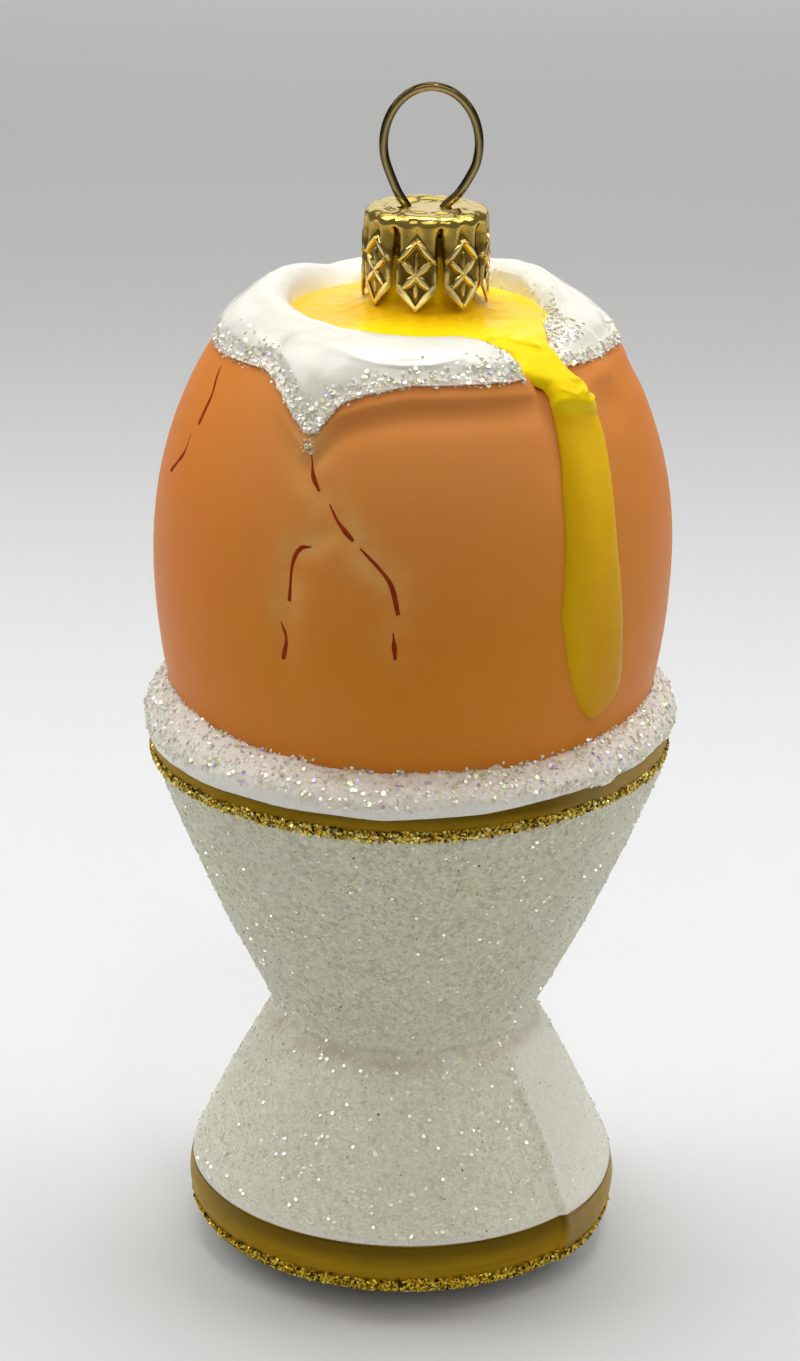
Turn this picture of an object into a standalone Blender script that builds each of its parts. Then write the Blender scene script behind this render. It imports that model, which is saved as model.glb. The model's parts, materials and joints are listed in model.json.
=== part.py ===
"""Blown-glass tree ornament in the shape of a soft-boiled egg standing in its egg cup.

Metres, +Z up, front towards -Y. The origin is the middle of the small flat under the foot. The heights named below are
measured from the lower edge of the foot's rim. The underside swells below that edge, so every finished mesh is raised
by UNDERSIDE_SWELL to rest on z = 0. Azimuths are in degrees, 0 at the front and growing towards +X. The glass body is
split at the edges of its painted fields, one solid for each field: the cup, the shell, the white and the yolk. A paste
bead hides the joint of cup and shell. A pressed metal cap sits on the neck, and a bent wire eye is hooked into the cap.
"""

import math

import bmesh
import bpy

MM = 0.001
GAP = 0.3 * MM

# Cup: foot, waist and bowl, turned round the Z axis.
UNDERSIDE_SWELL = 2.2 * MM
REST_RADIUS = 10.5 * MM
FOOT_RADIUS = 21.7 * MM
FOOT_TOP_RADIUS = 21.3 * MM
FOOT_TOP_HEIGHT = 6.3 * MM
WAIST_RADIUS = 12.8 * MM
WAIST_HEIGHT = 23.2 * MM
BOWL_RADIUS = 25.1 * MM
BOWL_BAND_HEIGHT = 50.2 * MM
BAND_RADIUS = 25.3 * MM
CUP_HEIGHT = 54.4 * MM
FOOT_BULGE = 0.3 * MM
BOWL_BULGE = 0.6 * MM
CUP_SEGMENTS = 56

# Egg: the upper and the lower half are halves of two ellipsoids.
EGG_RADIUS = 25.05 * MM
EGG_MIDDLE = 71.0 * MM
EGG_UPPER = 31.5 * MM
EGG_LOWER = 40.0 * MM
SHELL_TOP = 91.25 * MM
SHELL_RINGS = 17
SHELL_SEGMENTS = 56
LEDGE_DEPTH = 0.35 * MM
LEDGE_WIDTH = 0.8 * MM

# White: a thick rolled rim round the pool of yolk, open at the front right where the yolk runs out.
POOL_RADIUS = 11.4 * MM
CREST_RADIUS = 14.2 * MM
CREST_HEIGHT = 95.75 * MM
CREST_TILT = 0.55 * MM
WHITE_BORDER = 91.0 * MM
WHITE_THICKNESS = 0.85 * MM
WHITE_DRIP_AZIMUTH = -26.0
WHITE_DRIP_LENGTH = 3.8 * MM
WHITE_DRIP_WIDTHS = (5.5, 3.6)
WHITE_START = 55.5
WHITE_END = 386.5

# Yolk: the pool with the glass neck rising from it, and the tongue that spills over the shoulder and runs down.
POOL_EDGE_HEIGHT = 94.3 * MM
POOL_MIDDLE_HEIGHT = 94.8 * MM
NECK_RADIUS = 4.6 * MM
NECK_TOP = 100.5 * MM
TONGUE_START_RADIUS = 9.0 * MM
TONGUE_START_HEIGHT = 93.8 * MM
DRIP_THICKNESS = 0.9 * MM
# Height on the shell, with the azimuths of the drip's left and right edges there.
DRIP_OUTLINE = (
    (91.9 * MM, 28.5, 51.0),
    (90.3 * MM, 34.5, 53.5),
    (87.0 * MM, 36.3, 52.5),
    (81.8 * MM, 34.5, 50.0),
    (75.4 * MM, 33.5, 49.5),
    (70.8 * MM, 32.5, 51.0),
    (66.0 * MM, 35.0, 52.7),
    (62.2 * MM, 38.4, 53.2),
    (60.3 * MM, 41.0, 50.0),
    (59.7 * MM, 43.5, 46.0),
)

# Paste bead round the joint of cup and egg.
BEAD_RADIUS = 26.1 * MM
BEAD_TOP = 56.1 * MM
BEAD_SIDE_RISE = 2.0 * MM
BEAD_LIP = 52.4 * MM
BEAD_SEGMENTS = 72
BEAD_DRIP_AZIMUTH = 46.5

# Cap: a thin pressed cup with eight pointed petals, each with two flutes.
NECK_OFFSET = 0.75 * MM
CAP_RADIUS = 5.85 * MM
CAP_FLARE = 0.25 * MM
CAP_WALL = 0.4 * MM
CAP_TOP = 104.3 * MM
CAP_CROWN = 1.3 * MM
FLUTE_DEPTH = 0.28 * MM
PETALS = 8
FIRST_PETAL_AZIMUTH = -10.4
PETAL_WIDTH = 41.0
PETAL_SHOULDER = 97.3 * MM
PETAL_TIP = 95.3 * MM
WIRE_HOLE_RADIUS = 0.8 * MM

# Wire eye: a pear-shaped bend with two legs that pass through the cap's top.
WIRE_RADIUS = 0.43 * MM
EYE_RADIUS = 4.45 * MM
EYE_HEIGHT = 110.9 * MM
EYE_OFFSET = 0.3 * MM
LEG_SPACING = 3.4 * MM
LEG_END = 101.6 * MM
LEG_STRAIGHT_TOP = 104.6 * MM
WIRE_POINT_SPACING = 1.0 * MM

SHELL_ORANGE = (0.50, 0.19, 0.055)
EGG_WHITE = (0.82, 0.81, 0.78)
YOLK_YELLOW = (0.86, 0.52, 0.015)
CUP_WHITE = (0.60, 0.60, 0.54)
BEAD_PINKISH_WHITE = (0.74, 0.66, 0.63)
CAP_GOLD = (0.72, 0.50, 0.16)
WIRE_BRASS = (0.30, 0.23, 0.11)


def clear_scene():
    for obj in list(bpy.data.objects):
        bpy.data.objects.remove(obj, do_unlink=True)


def make_material(name, colour, roughness, metallic=0.0):
    material = bpy.data.materials.new(name)
    material.use_nodes = True
    shader = material.node_tree.nodes["Principled BSDF"]
    shader.inputs["Base Color"].default_value = (*colour, 1.0)
    shader.inputs["Roughness"].default_value = roughness
    shader.inputs["Metallic"].default_value = metallic
    return material


def place(radius, azimuth, height, centre_x=0.0):
    """The point at this radius and azimuth round a vertical axis through centre_x."""
    turn = math.radians(azimuth)
    return (centre_x + radius * math.sin(turn), -radius * math.cos(turn), height)


def blend(start, end, share):
    return start + (end - start) * share


def smooth_step(start, end, value):
    share = min(1.0, max(0.0, (value - start) / (end - start)))
    return share * share * (3.0 - 2.0 * share)


def bell(offset, width):
    return math.exp(-((offset / width) ** 2))


def turn_between(azimuth, centre):
    """Signed angle from centre to azimuth, between -180 and 180 degrees."""
    return (azimuth - centre + 180.0) % 360.0 - 180.0


def finish(name, bm, material, sharp_angle=35.0):
    """Closes the mesh, turns its faces outwards, raises it to its real height and links it as an object."""
    bmesh.ops.remove_doubles(bm, verts=bm.verts, dist=1e-6)
    bmesh.ops.recalc_face_normals(bm, faces=bm.faces)
    bmesh.ops.translate(bm, verts=bm.verts, vec=(0.0, 0.0, UNDERSIDE_SWELL))
    mesh = bpy.data.meshes.new(name)
    bm.to_mesh(mesh)
    bm.free()
    mesh.materials.append(material)
    mesh.shade_smooth()
    mesh.set_sharp_from_angle(angle=math.radians(sharp_angle))
    obj = bpy.data.objects.new(name, mesh)
    bpy.context.scene.collection.objects.link(obj)
    return obj


def spin_profile(profile, segments, centre_x=0.0):
    """Turns a list of (radius, height), which starts and ends on the axis, into a closed body."""
    bm = bmesh.new()
    verts = [bm.verts.new((centre_x + radius, 0.0, height)) for radius, height in profile]
    edges = [bm.edges.new(pair) for pair in zip(verts, verts[1:])]
    bmesh.ops.spin(
        bm,
        geom=verts + edges,
        cent=(centre_x, 0.0, 0.0),
        axis=(0.0, 0.0, 1.0),
        angle=math.tau,
        steps=segments,
        use_merge=True,
    )
    bmesh.ops.remove_doubles(bm, verts=bm.verts, dist=1e-6)
    return bm


def loft(loops, closed):
    """Skins loops of equal length. An open loft gets a cap at each end."""
    bm = bmesh.new()
    rows = [[bm.verts.new(point) for point in loop] for loop in loops]
    pairs = list(zip(rows, rows[1:]))
    if closed:
        pairs.append((rows[-1], rows[0]))
    for row, following in pairs:
        for k in range(len(row)):
            after = (k + 1) % len(row)
            bm.faces.new((row[k], row[after], following[after], following[k]))
    if not closed:
        bm.faces.new(rows[0])
        bm.faces.new(reversed(rows[-1]))
    return bm


def join_solids(obj, other):
    """Unites other into obj with an exact Boolean and keeps other as a hidden helper."""
    modifier = obj.modifiers.new("Join", "BOOLEAN")
    modifier.operation = "UNION"
    modifier.object = other
    other.hide_render = True
    other.display_type = "WIRE"


def cut_solid(obj, cutter):
    modifier = obj.modifiers.new("Cut", "BOOLEAN")
    modifier.operation = "DIFFERENCE"
    modifier.object = cutter
    cutter.hide_render = True
    cutter.display_type = "WIRE"


def shell_radius(height):
    half = EGG_UPPER if height > EGG_MIDDLE else EGG_LOWER
    return EGG_RADIUS * math.sqrt(1.0 - ((height - EGG_MIDDLE) / half) ** 2)


# Cup


def bulged_cone(low, high, bulge, steps):
    """Points from low to high, both (radius, height), bowed outwards by bulge in the middle. It leaves out low."""
    points = []
    for k in range(1, steps + 1):
        share = k / steps
        bow = bulge * 4.0 * share * (1.0 - share)
        points.append((blend(low[0], high[0], share) + bow, blend(low[1], high[1], share)))
    return points


def cup_profile():
    foot_edge = [
        (0.0, -UNDERSIDE_SWELL),
        (REST_RADIUS, -UNDERSIDE_SWELL),
        (blend(REST_RADIUS, FOOT_RADIUS, 0.38), -0.7 * UNDERSIDE_SWELL),
        (FOOT_RADIUS - 3.8 * MM, -0.24 * UNDERSIDE_SWELL),
        (FOOT_RADIUS - 1.9 * MM, 0.35 * MM),
        (FOOT_RADIUS - 1.1 * MM, 1.0 * MM),
        (FOOT_RADIUS - 0.35 * MM, 2.4 * MM),
        (FOOT_RADIUS, 4.2 * MM),
        (FOOT_TOP_RADIUS, FOOT_TOP_HEIGHT),
    ]
    waist = (WAIST_RADIUS, WAIST_HEIGHT)
    band = (BOWL_RADIUS, BOWL_BAND_HEIGHT)
    foot = bulged_cone(foot_edge[-1], waist, FOOT_BULGE, 6)
    bowl = bulged_cone(waist, band, BOWL_BULGE, 8)
    rim = [
        (BAND_RADIUS, BOWL_BAND_HEIGHT + 1.8 * MM),
        (BAND_RADIUS, CUP_HEIGHT - 0.6 * MM),
        (BAND_RADIUS - 0.6 * MM, CUP_HEIGHT),
        (0.0, CUP_HEIGHT),
    ]
    return foot_edge + foot + bowl + rim


def make_cup():
    bm = spin_profile(cup_profile(), CUP_SEGMENTS)
    finish("egg_cup", bm, make_material("cup_frost", CUP_WHITE, 0.6))


# Egg


def white_border_height(azimuth):
    """Height on the shell at which the white's lower border runs, with its lobes and its one long drip."""
    turn = math.radians(azimuth)
    lobes = 0.18 * math.sin(3.0 * turn + 0.6) + 0.16 * math.sin(7.0 * turn)
    off = turn_between(azimuth, WHITE_DRIP_AZIMUTH)
    width = WHITE_DRIP_WIDTHS[0] if off < 0.0 else WHITE_DRIP_WIDTHS[1]
    return WHITE_BORDER + lobes * MM * 0.5 - WHITE_DRIP_LENGTH * bell(off, width)


def make_shell():
    """The shell, cut flat under the white, with the soft moulded ledge that runs just below the white's border."""
    bottom = CUP_HEIGHT + GAP
    profile = [(0.0, bottom)]
    for k in range(SHELL_RINGS):
        share = k / (SHELL_RINGS - 1)
        height = blend(bottom, SHELL_TOP, math.sin(share * math.pi / 2.0))
        profile.append((shell_radius(height), height))
    profile.append((0.0, SHELL_TOP))
    bm = spin_profile(profile, SHELL_SEGMENTS)
    for vert in bm.verts:
        radius = math.hypot(vert.co.x, vert.co.y)
        if radius < 1.0 * MM:
            continue
        azimuth = math.degrees(math.atan2(vert.co.x, -vert.co.y))
        below = white_border_height(azimuth) - 1.2 * MM - vert.co.z
        dent = LEDGE_DEPTH * bell(below, LEDGE_WIDTH)
        vert.co.x *= 1.0 - dent / radius
        vert.co.y *= 1.0 - dent / radius
    finish("egg_shell", bm, make_material("shell_lacquer", SHELL_ORANGE, 0.35))


def white_section(azimuth):
    """One cross-section of the white: up the pool wall, over the crest, down to the border and back under."""
    turn = math.radians(azimuth)
    crest = CREST_HEIGHT - CREST_TILT * math.cos(turn) - 0.35 * MM * bell(turn_between(azimuth, -142.0), 8.0)
    border = white_border_height(azimuth)
    underside = SHELL_TOP + GAP
    middle = blend(border, SHELL_TOP + 1.6 * MM, 0.5)
    clear = GAP * 1.3
    inner = POOL_RADIUS + GAP
    outline = [
        (inner, underside),
        (inner, POOL_EDGE_HEIGHT - 0.3 * MM),
        (inner + 0.9 * MM, crest - 0.5 * MM),
        (CREST_RADIUS, crest),
        (CREST_RADIUS + 1.7 * MM, crest - 0.6 * MM),
        (shell_radius(crest - 1.9 * MM) + 0.4 * MM, crest - 1.9 * MM),
        (shell_radius(middle) + WHITE_THICKNESS, middle),
        (shell_radius(border + 0.35 * MM) + WHITE_THICKNESS, border + 0.35 * MM),
        (shell_radius(border) + WHITE_THICKNESS * 0.7, border),
        (shell_radius(border + 0.1 * MM) + clear, border + 0.1 * MM),
        (shell_radius(SHELL_TOP) + clear, SHELL_TOP + 0.05 * MM),
        (shell_radius(SHELL_TOP) - 0.5 * MM, underside),
    ]
    return [place(radius, azimuth, height) for radius, height in outline]


def white_azimuths():
    """Sections stand 6 degrees apart, and 2 degrees apart across the drip."""
    azimuths = [WHITE_START]
    while azimuths[-1] < WHITE_END:
        near_drip = abs(turn_between(azimuths[-1], WHITE_DRIP_AZIMUTH)) < 13.0
        azimuths.append(azimuths[-1] + (2.0 if near_drip else 6.0))
    azimuths[-1] = WHITE_END
    return azimuths


def make_white():
    loops = [white_section(azimuth) for azimuth in white_azimuths()]
    bm = loft(loops, closed=False)
    finish("egg_white", bm, make_material("white_enamel", EGG_WHITE, 0.2))


def make_pool():
    profile = [
        (0.0, SHELL_TOP + GAP),
        (POOL_RADIUS, SHELL_TOP + GAP),
        (POOL_RADIUS, POOL_EDGE_HEIGHT - 0.4 * MM),
        (POOL_RADIUS - 0.5 * MM, POOL_EDGE_HEIGHT),
        (blend(POOL_RADIUS, NECK_RADIUS, 0.6), blend(POOL_EDGE_HEIGHT, POOL_MIDDLE_HEIGHT, 0.6)),
        (NECK_RADIUS + 1.8 * MM, POOL_MIDDLE_HEIGHT),
    ]
    neck = [
        (NECK_RADIUS, POOL_MIDDLE_HEIGHT + 0.6 * MM),
        (NECK_RADIUS, NECK_TOP),
        (0.0, NECK_TOP),
    ]
    bm = spin_profile(profile + neck, 40)
    for vert in bm.verts:
        # The neck leans towards +X by the same offset as the cap that it carries.
        vert.co.x += NECK_OFFSET * smooth_step(SHELL_TOP, POOL_MIDDLE_HEIGHT, vert.co.z) * bell(
            math.hypot(vert.co.x, vert.co.y), 2.0 * NECK_RADIUS
        )
    return finish("yolk", bm, make_material("yolk_enamel", YOLK_YELLOW, 0.25))


def tongue_section(outline, left, right):
    """A domed strip across the tongue: outline gives (top radius, top height, under radius, under height)."""
    top_radius, top_height, under_radius, under_height = outline
    points = []
    steps = 5
    for k in range(steps + 1):
        share = k / steps
        dome = math.sin(math.pi * (0.12 + 0.76 * share))
        radius = blend(under_radius, top_radius, dome)
        height = blend(under_height, top_height, dome)
        points.append(place(radius, blend(left, right, share), height))
    for k in range(steps + 1):
        share = 1.0 - k / steps
        points.append(place(under_radius, blend(left, right, share), under_height))
    return points


def make_tongue():
    under = SHELL_TOP + GAP
    left, right = DRIP_OUTLINE[0][1:]
    flat_part = (
        (TONGUE_START_RADIUS, TONGUE_START_HEIGHT),
        (POOL_RADIUS - 0.2 * MM, TONGUE_START_HEIGHT + 0.2 * MM),
        (POOL_RADIUS + 1.2 * MM, POOL_EDGE_HEIGHT + 0.1 * MM),
        (16.0 * MM, POOL_EDGE_HEIGHT - 0.2 * MM),
        (18.0 * MM, POOL_EDGE_HEIGHT - 0.9 * MM),
    )
    loops = [
        tongue_section((radius, height, radius, under + 0.02 * MM), left, right) for radius, height in flat_part
    ]
    clear = GAP * 1.3
    for height, left, right in DRIP_OUTLINE:
        radius = shell_radius(height)
        lift = DRIP_THICKNESS * min(1.0, (right - left) / 9.0)
        loops.append(
            tongue_section((radius + clear + lift, height, radius + clear, height), left, right)
        )
    bm = loft(loops, closed=False)
    return finish("yolk_tongue", bm, make_material("yolk_run", YOLK_YELLOW, 0.25))


def make_yolk():
    pool = make_pool()
    join_solids(pool, make_tongue())


# Paste bead


def bead_lip_height(azimuth):
    """The bead's lower lip climbs on the right, past the ragged end with its small drip."""
    climb = smooth_step(0.0, 36.0, azimuth) * smooth_step(170.0, 90.0, azimuth)
    drip = bell(turn_between(azimuth, BEAD_DRIP_AZIMUTH), 2.5)
    wave = 0.12 * math.sin(math.radians(5.0 * azimuth) + 1.0)
    return BEAD_LIP + (1.3 * climb - 0.45 * drip + wave) * MM


def bead_section(azimuth):
    turn = math.radians(azimuth)
    lip = bead_lip_height(azimuth)
    top = BEAD_TOP + (BEAD_SIDE_RISE * abs(math.sin(turn)) ** 3 + 0.1 * MM * math.sin(9.0 * turn))
    outer = BEAD_RADIUS - 0.15 * MM * (1.0 + math.sin(3.0 * turn + 0.5)) * 0.5
    on_cup = BAND_RADIUS + GAP
    clear = GAP * 1.2
    outline = [
        (shell_radius(top) + clear, top),
        (blend(shell_radius(top), outer, 0.62), blend(BEAD_TOP, top, 0.45) - 0.35 * MM),
        (outer - 0.25 * MM, blend(lip, BEAD_TOP, 0.66)),
        (outer, blend(lip, BEAD_TOP, 0.42)),
        (outer - 0.05 * MM, blend(lip, BEAD_TOP, 0.15)),
        (on_cup + 0.15 * MM, lip),
        (on_cup, lip + 0.15 * MM),
        (on_cup, CUP_HEIGHT - 0.45 * MM),
        (on_cup - 0.55 * MM, CUP_HEIGHT + GAP),
        (shell_radius(CUP_HEIGHT + GAP) + clear + 0.3 * MM, CUP_HEIGHT + GAP + 0.15 * MM),
    ]
    return [place(radius, azimuth, height) for radius, height in outline]


def make_bead():
    step = 360.0 / BEAD_SEGMENTS
    loops = [bead_section(-180.0 + step * k) for k in range(BEAD_SEGMENTS)]
    bm = loft(loops, closed=True)
    finish("rim_bead", bm, make_material("bead_paste", BEAD_PINKISH_WHITE, 0.5))


# Cap and wire


def petal_columns():
    """(azimuth, share across the petal) of every column of the cap's wall, petal by petal."""
    columns = []
    across = (0.0, 0.25, 0.5, 0.75, 1.0)
    for petal in range(PETALS):
        centre = FIRST_PETAL_AZIMUTH + petal * 360.0 / PETALS
        for share in across:
            columns.append((centre + (share - 0.5) * PETAL_WIDTH, share))
    return columns, len(across)


def cap_wall_point(azimuth, share, height, inset):
    """A point of the fluted wall. Each petal has a flute's ridge at a quarter and at three quarters of its width."""
    drop = (CAP_TOP - height) / (CAP_TOP - PETAL_TIP)
    ridge = abs(math.sin(math.tau * share))
    radius = CAP_RADIUS + CAP_FLARE * drop - FLUTE_DEPTH * (1.0 - ridge) - inset
    return place(radius, azimuth, height, NECK_OFFSET)


def make_cap_body():
    """The cap's wall and petals as one skin of columns, closed at the top by a disc."""
    columns, per_petal = petal_columns()
    crown_foot = CAP_TOP - CAP_CROWN
    bm = bmesh.new()
    rims = []
    for inset in (0.0, CAP_WALL):
        roof = CAP_TOP - inset
        rounding = 0.0 if inset else 0.35 * MM
        rows = []
        for level in range(4):
            row = []
            for azimuth, share in columns:
                point = 1.0 - 2.0 * abs(share - 0.5)
                tip = blend(PETAL_SHOULDER, PETAL_TIP, point)
                height = (roof - rounding, crown_foot, PETAL_SHOULDER + 0.6 * MM, tip)[level]
                row.append(bm.verts.new(cap_wall_point(azimuth, share, height, inset)))
            rows.append(row)
        lid = [
            bm.verts.new(place(CAP_RADIUS - 1.0 * MM - inset, azimuth, roof, NECK_OFFSET))
            for azimuth, share in columns
        ]
        rims.append((lid, rows))
    count = len(columns)
    for lid, rows in rims:
        bm.faces.new(lid)
        for k in range(count):
            after = (k + 1) % count
            bm.faces.new((lid[k], lid[after], rows[0][after], rows[0][k]))
            bm.faces.new((rows[0][k], rows[0][after], rows[1][after], rows[1][k]))
            if after % per_petal:
                for upper, lower in ((rows[1], rows[2]), (rows[2], rows[3])):
                    bm.faces.new((upper[k], upper[after], lower[after], lower[k]))
    outer, inner = rims[0][1], rims[1][1]
    for k in range(count):
        after = (k + 1) % count
        if after % per_petal:
            bm.faces.new((outer[3][k], outer[3][after], inner[3][after], inner[3][k]))
            continue
        bm.faces.new((outer[1][k], outer[1][after], inner[1][after], inner[1][k]))
        for side in (k, after):
            for level in (1, 2):
                bm.faces.new(
                    (outer[level][side], outer[level + 1][side], inner[level + 1][side], inner[level][side])
                )
    return finish("cap", bm, make_material("cap_gilt", CAP_GOLD, 0.25, 1.0))


def make_cap():
    cap = make_cap_body()
    for side in (-0.5, 0.5):
        bm = bmesh.new()
        bmesh.ops.create_cone(
            bm,
            cap_ends=True,
            segments=12,
            radius1=WIRE_HOLE_RADIUS,
            radius2=WIRE_HOLE_RADIUS,
            depth=4.0 * CAP_WALL,
        )
        cutter = finish("wire_hole", bm, make_material("cut", CAP_GOLD, 0.25, 1.0))
        cutter.location = (NECK_OFFSET + side * LEG_SPACING, 0.0, CAP_TOP - 0.5 * CAP_WALL)
        cut_solid(cap, cutter)


def wire_route():
    """The eye's arc, met on each side by a straight leg that bends down into the cap."""
    centre_x = NECK_OFFSET + EYE_OFFSET
    sweep = 233.0
    points = []
    arc_steps = round(math.radians(sweep) * EYE_RADIUS / WIRE_POINT_SPACING) + 8
    for k in range(arc_steps + 1):
        turn = math.radians(blend(-0.5 * sweep, 0.5 * sweep, k / arc_steps))
        points.append((centre_x + EYE_RADIUS * math.sin(turn), EYE_HEIGHT + EYE_RADIUS * math.cos(turn)))
    legs = []
    for side, start in ((-0.5, points[0]), (0.5, points[-1])):
        foot_x = NECK_OFFSET + side * LEG_SPACING
        leg = [(blend(start[0], foot_x, k / 4.0), blend(start[1], LEG_STRAIGHT_TOP, k / 4.0)) for k in range(1, 4)]
        leg.append((foot_x + side * 0.12 * MM, LEG_STRAIGHT_TOP + 0.1 * MM))
        leg += [(foot_x, blend(LEG_STRAIGHT_TOP - 0.6 * MM, LEG_END, k / 2.0)) for k in range(3)]
        legs.append(leg)
    return legs[0][::-1] + points + legs[1]


def make_wire():
    route = wire_route()
    curve = bpy.data.curves.new("wire_eye", "CURVE")
    curve.dimensions = "3D"
    curve.bevel_depth = WIRE_RADIUS
    curve.bevel_resolution = 2
    curve.use_fill_caps = True
    spline = curve.splines.new("POLY")
    spline.points.add(len(route) - 1)
    for point, (x, z) in zip(spline.points, route):
        point.co = (x, 0.0, z + UNDERSIDE_SWELL, 1.0)
    curve.materials.append(make_material("wire_brass", WIRE_BRASS, 0.3, 1.0))
    obj = bpy.data.objects.new("wire_eye", curve)
    bpy.context.scene.collection.objects.link(obj)


def main():
    clear_scene()
    make_cup()
    make_shell()
    make_white()
    make_yolk()
    make_bead()
    make_cap()
    make_wire()


main()
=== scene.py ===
# %% [markdown]
# # A blown-glass egg in its egg cup
#
# The real object is a tree ornament. A glass bubble is blown into a mould, painted by hand, dusted with
# glitter and closed with a pressed metal cap that carries a wire eye. This lesson builds its visible
# surfaces piece by piece around a packed construction model, which gives every size and place.

# %% Load the frame
import json
import math

import bpy
import numpy as np
from mathutils import Matrix, Vector, noise

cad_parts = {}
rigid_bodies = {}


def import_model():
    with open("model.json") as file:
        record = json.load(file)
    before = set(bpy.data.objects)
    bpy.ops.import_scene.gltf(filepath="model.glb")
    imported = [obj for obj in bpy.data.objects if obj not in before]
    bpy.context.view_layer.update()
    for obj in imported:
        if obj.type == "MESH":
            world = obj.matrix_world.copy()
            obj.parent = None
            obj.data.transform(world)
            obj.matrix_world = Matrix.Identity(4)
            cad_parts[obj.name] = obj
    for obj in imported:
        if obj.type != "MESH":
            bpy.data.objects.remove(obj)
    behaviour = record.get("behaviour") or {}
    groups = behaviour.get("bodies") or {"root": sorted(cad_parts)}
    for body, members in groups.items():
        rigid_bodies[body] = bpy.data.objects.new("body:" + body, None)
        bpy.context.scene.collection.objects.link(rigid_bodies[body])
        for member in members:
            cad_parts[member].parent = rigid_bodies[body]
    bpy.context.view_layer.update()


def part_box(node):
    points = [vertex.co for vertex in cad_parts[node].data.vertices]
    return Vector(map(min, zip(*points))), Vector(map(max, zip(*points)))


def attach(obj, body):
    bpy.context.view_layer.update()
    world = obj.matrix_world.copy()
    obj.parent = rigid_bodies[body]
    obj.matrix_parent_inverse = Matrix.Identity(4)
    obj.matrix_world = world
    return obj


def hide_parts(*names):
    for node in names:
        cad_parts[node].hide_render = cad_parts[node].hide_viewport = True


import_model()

# %% [markdown]
# ## Sizes
#
# Everything is placed from the boxes of the construction nodes. Lengths are in metres, so a millimetre is
# given a name. Directions round the axis are azimuths in degrees: 0 is the front, 90 the right side, 180
# the back. The glass swells a little below the foot's rim, so heights are measured from that rim, and
# each finished piece is raised by the swelling when it is handed over.

# %% Sizes from the frame
MM = 0.001

_, cup_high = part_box("egg_cup")
shell_low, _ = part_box("egg_shell")
_, bead_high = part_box("rim_bead")
cap_low, cap_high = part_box("cap")
wire_low, wire_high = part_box("wire_eye")

CUP_TOP = 54.4 * MM
LIFT = cup_high.z - CUP_TOP
FOOT_RADIUS = 21.7 * MM
EGG_RADIUS = 25.05 * MM
EGG_MIDDLE = shell_low.z - LIFT + 16.3 * MM
EGG_UPPER = 31.5 * MM
EGG_LOWER = 40.0 * MM
BEAD_RADIUS = bead_high.x
CAP_AXIS = 0.5 * (cap_low.x + cap_high.x)
CAP_TOP = cap_high.z - LIFT
CAP_TIP = cap_low.z - LIFT
print("swelling", LIFT, "egg middle", EGG_MIDDLE, "cap", CAP_AXIS, CAP_TIP, CAP_TOP)


def shell_radius(height):
    """Radius of the bare shell at a height: an egg is two half ellipsoids that share their widest circle."""
    height = np.asarray(height, float)
    half = np.where(height > EGG_MIDDLE, EGG_UPPER, EGG_LOWER)
    share = np.clip((height - EGG_MIDDLE) / half, -0.999, 0.999)
    return EGG_RADIUS * np.sqrt(1.0 - share**2)


def polar(points):
    """Radius, azimuth in degrees and height of each point."""
    radius = np.hypot(points[:, 0], points[:, 1])
    azimuth = np.degrees(np.arctan2(points[:, 0], -points[:, 1]))
    return radius, azimuth, points[:, 2]


def cartesian(radius, azimuth, height):
    turn = np.radians(azimuth)
    return np.stack([radius * np.sin(turn), -radius * np.cos(turn), height + 0.0 * turn], axis=-1)


def around(azimuth, centre):
    """Signed angle from centre, between -180 and 180 degrees."""
    return (azimuth - centre + 180.0) % 360.0 - 180.0


def bell(offset, width):
    return np.exp(-((offset / width) ** 2))


def ease(start, end, value):
    """Soft step from 0 at start to 1 at end."""
    share = np.clip((value - start) / (end - start), 0.0, 1.0)
    return share * share * (3.0 - 2.0 * share)


def marked(azimuth, marks):
    """Soft line through (azimuth, height in millimetres) marks that run once round."""
    marks = np.array(marks)
    total = 0.0
    for shift in (-1.5, 0.0, 1.5):
        total = total + np.interp(around(np.asarray(azimuth, float) + shift, 0.0), marks[:, 0], marks[:, 1])
    return total / 3.0 * MM


# %% [markdown]
# ## Helpers for modelling
#
# Operators work on whatever is selected, so each new piece starts with nothing selected. A turned piece
# is drawn as half of its outline, one extruded corner after another, and spun round the axis, just as a
# mould is turned. Soft relief is then pressed in by moving the dense mesh's points, because no edit
# operator makes a melted edge.

# %% Modelling helpers
def deselect_everything():
    if bpy.context.mode != "OBJECT":
        bpy.ops.object.mode_set(mode="OBJECT")
    for obj in bpy.context.view_layer.objects:
        obj.select_set(False)


def select_only(piece):
    deselect_everything()
    bpy.context.view_layer.objects.active = piece
    piece.select_set(True)


def name_active(name):
    piece = bpy.context.active_object
    piece.name = name
    piece.data.name = name
    return piece


def edit_everything():
    """Goes into the active mesh with all of it selected."""
    bpy.ops.object.mode_set(mode="EDIT")
    bpy.ops.mesh.select_all(action="SELECT")


def recalculate_outwards(piece):
    select_only(piece)
    edit_everything()
    bpy.ops.mesh.normals_make_consistent(inside=False)
    bpy.ops.object.mode_set(mode="OBJECT")


def apply_modifiers(piece):
    select_only(piece)
    for modifier in list(piece.modifiers):
        bpy.ops.object.modifier_apply(modifier=modifier.name)


def read_points(piece, kind="co"):
    """Places of the points, or their normals when kind is normal, one row each."""
    values = np.empty(len(piece.data.vertices) * 3, np.float32)
    piece.data.vertices.foreach_get(kind, values)
    return values.reshape(-1, 3).astype(float)


def read_polar(piece):
    """The points, and their radii, azimuths and heights."""
    points = read_points(piece)
    return points, *polar(points)


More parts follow.
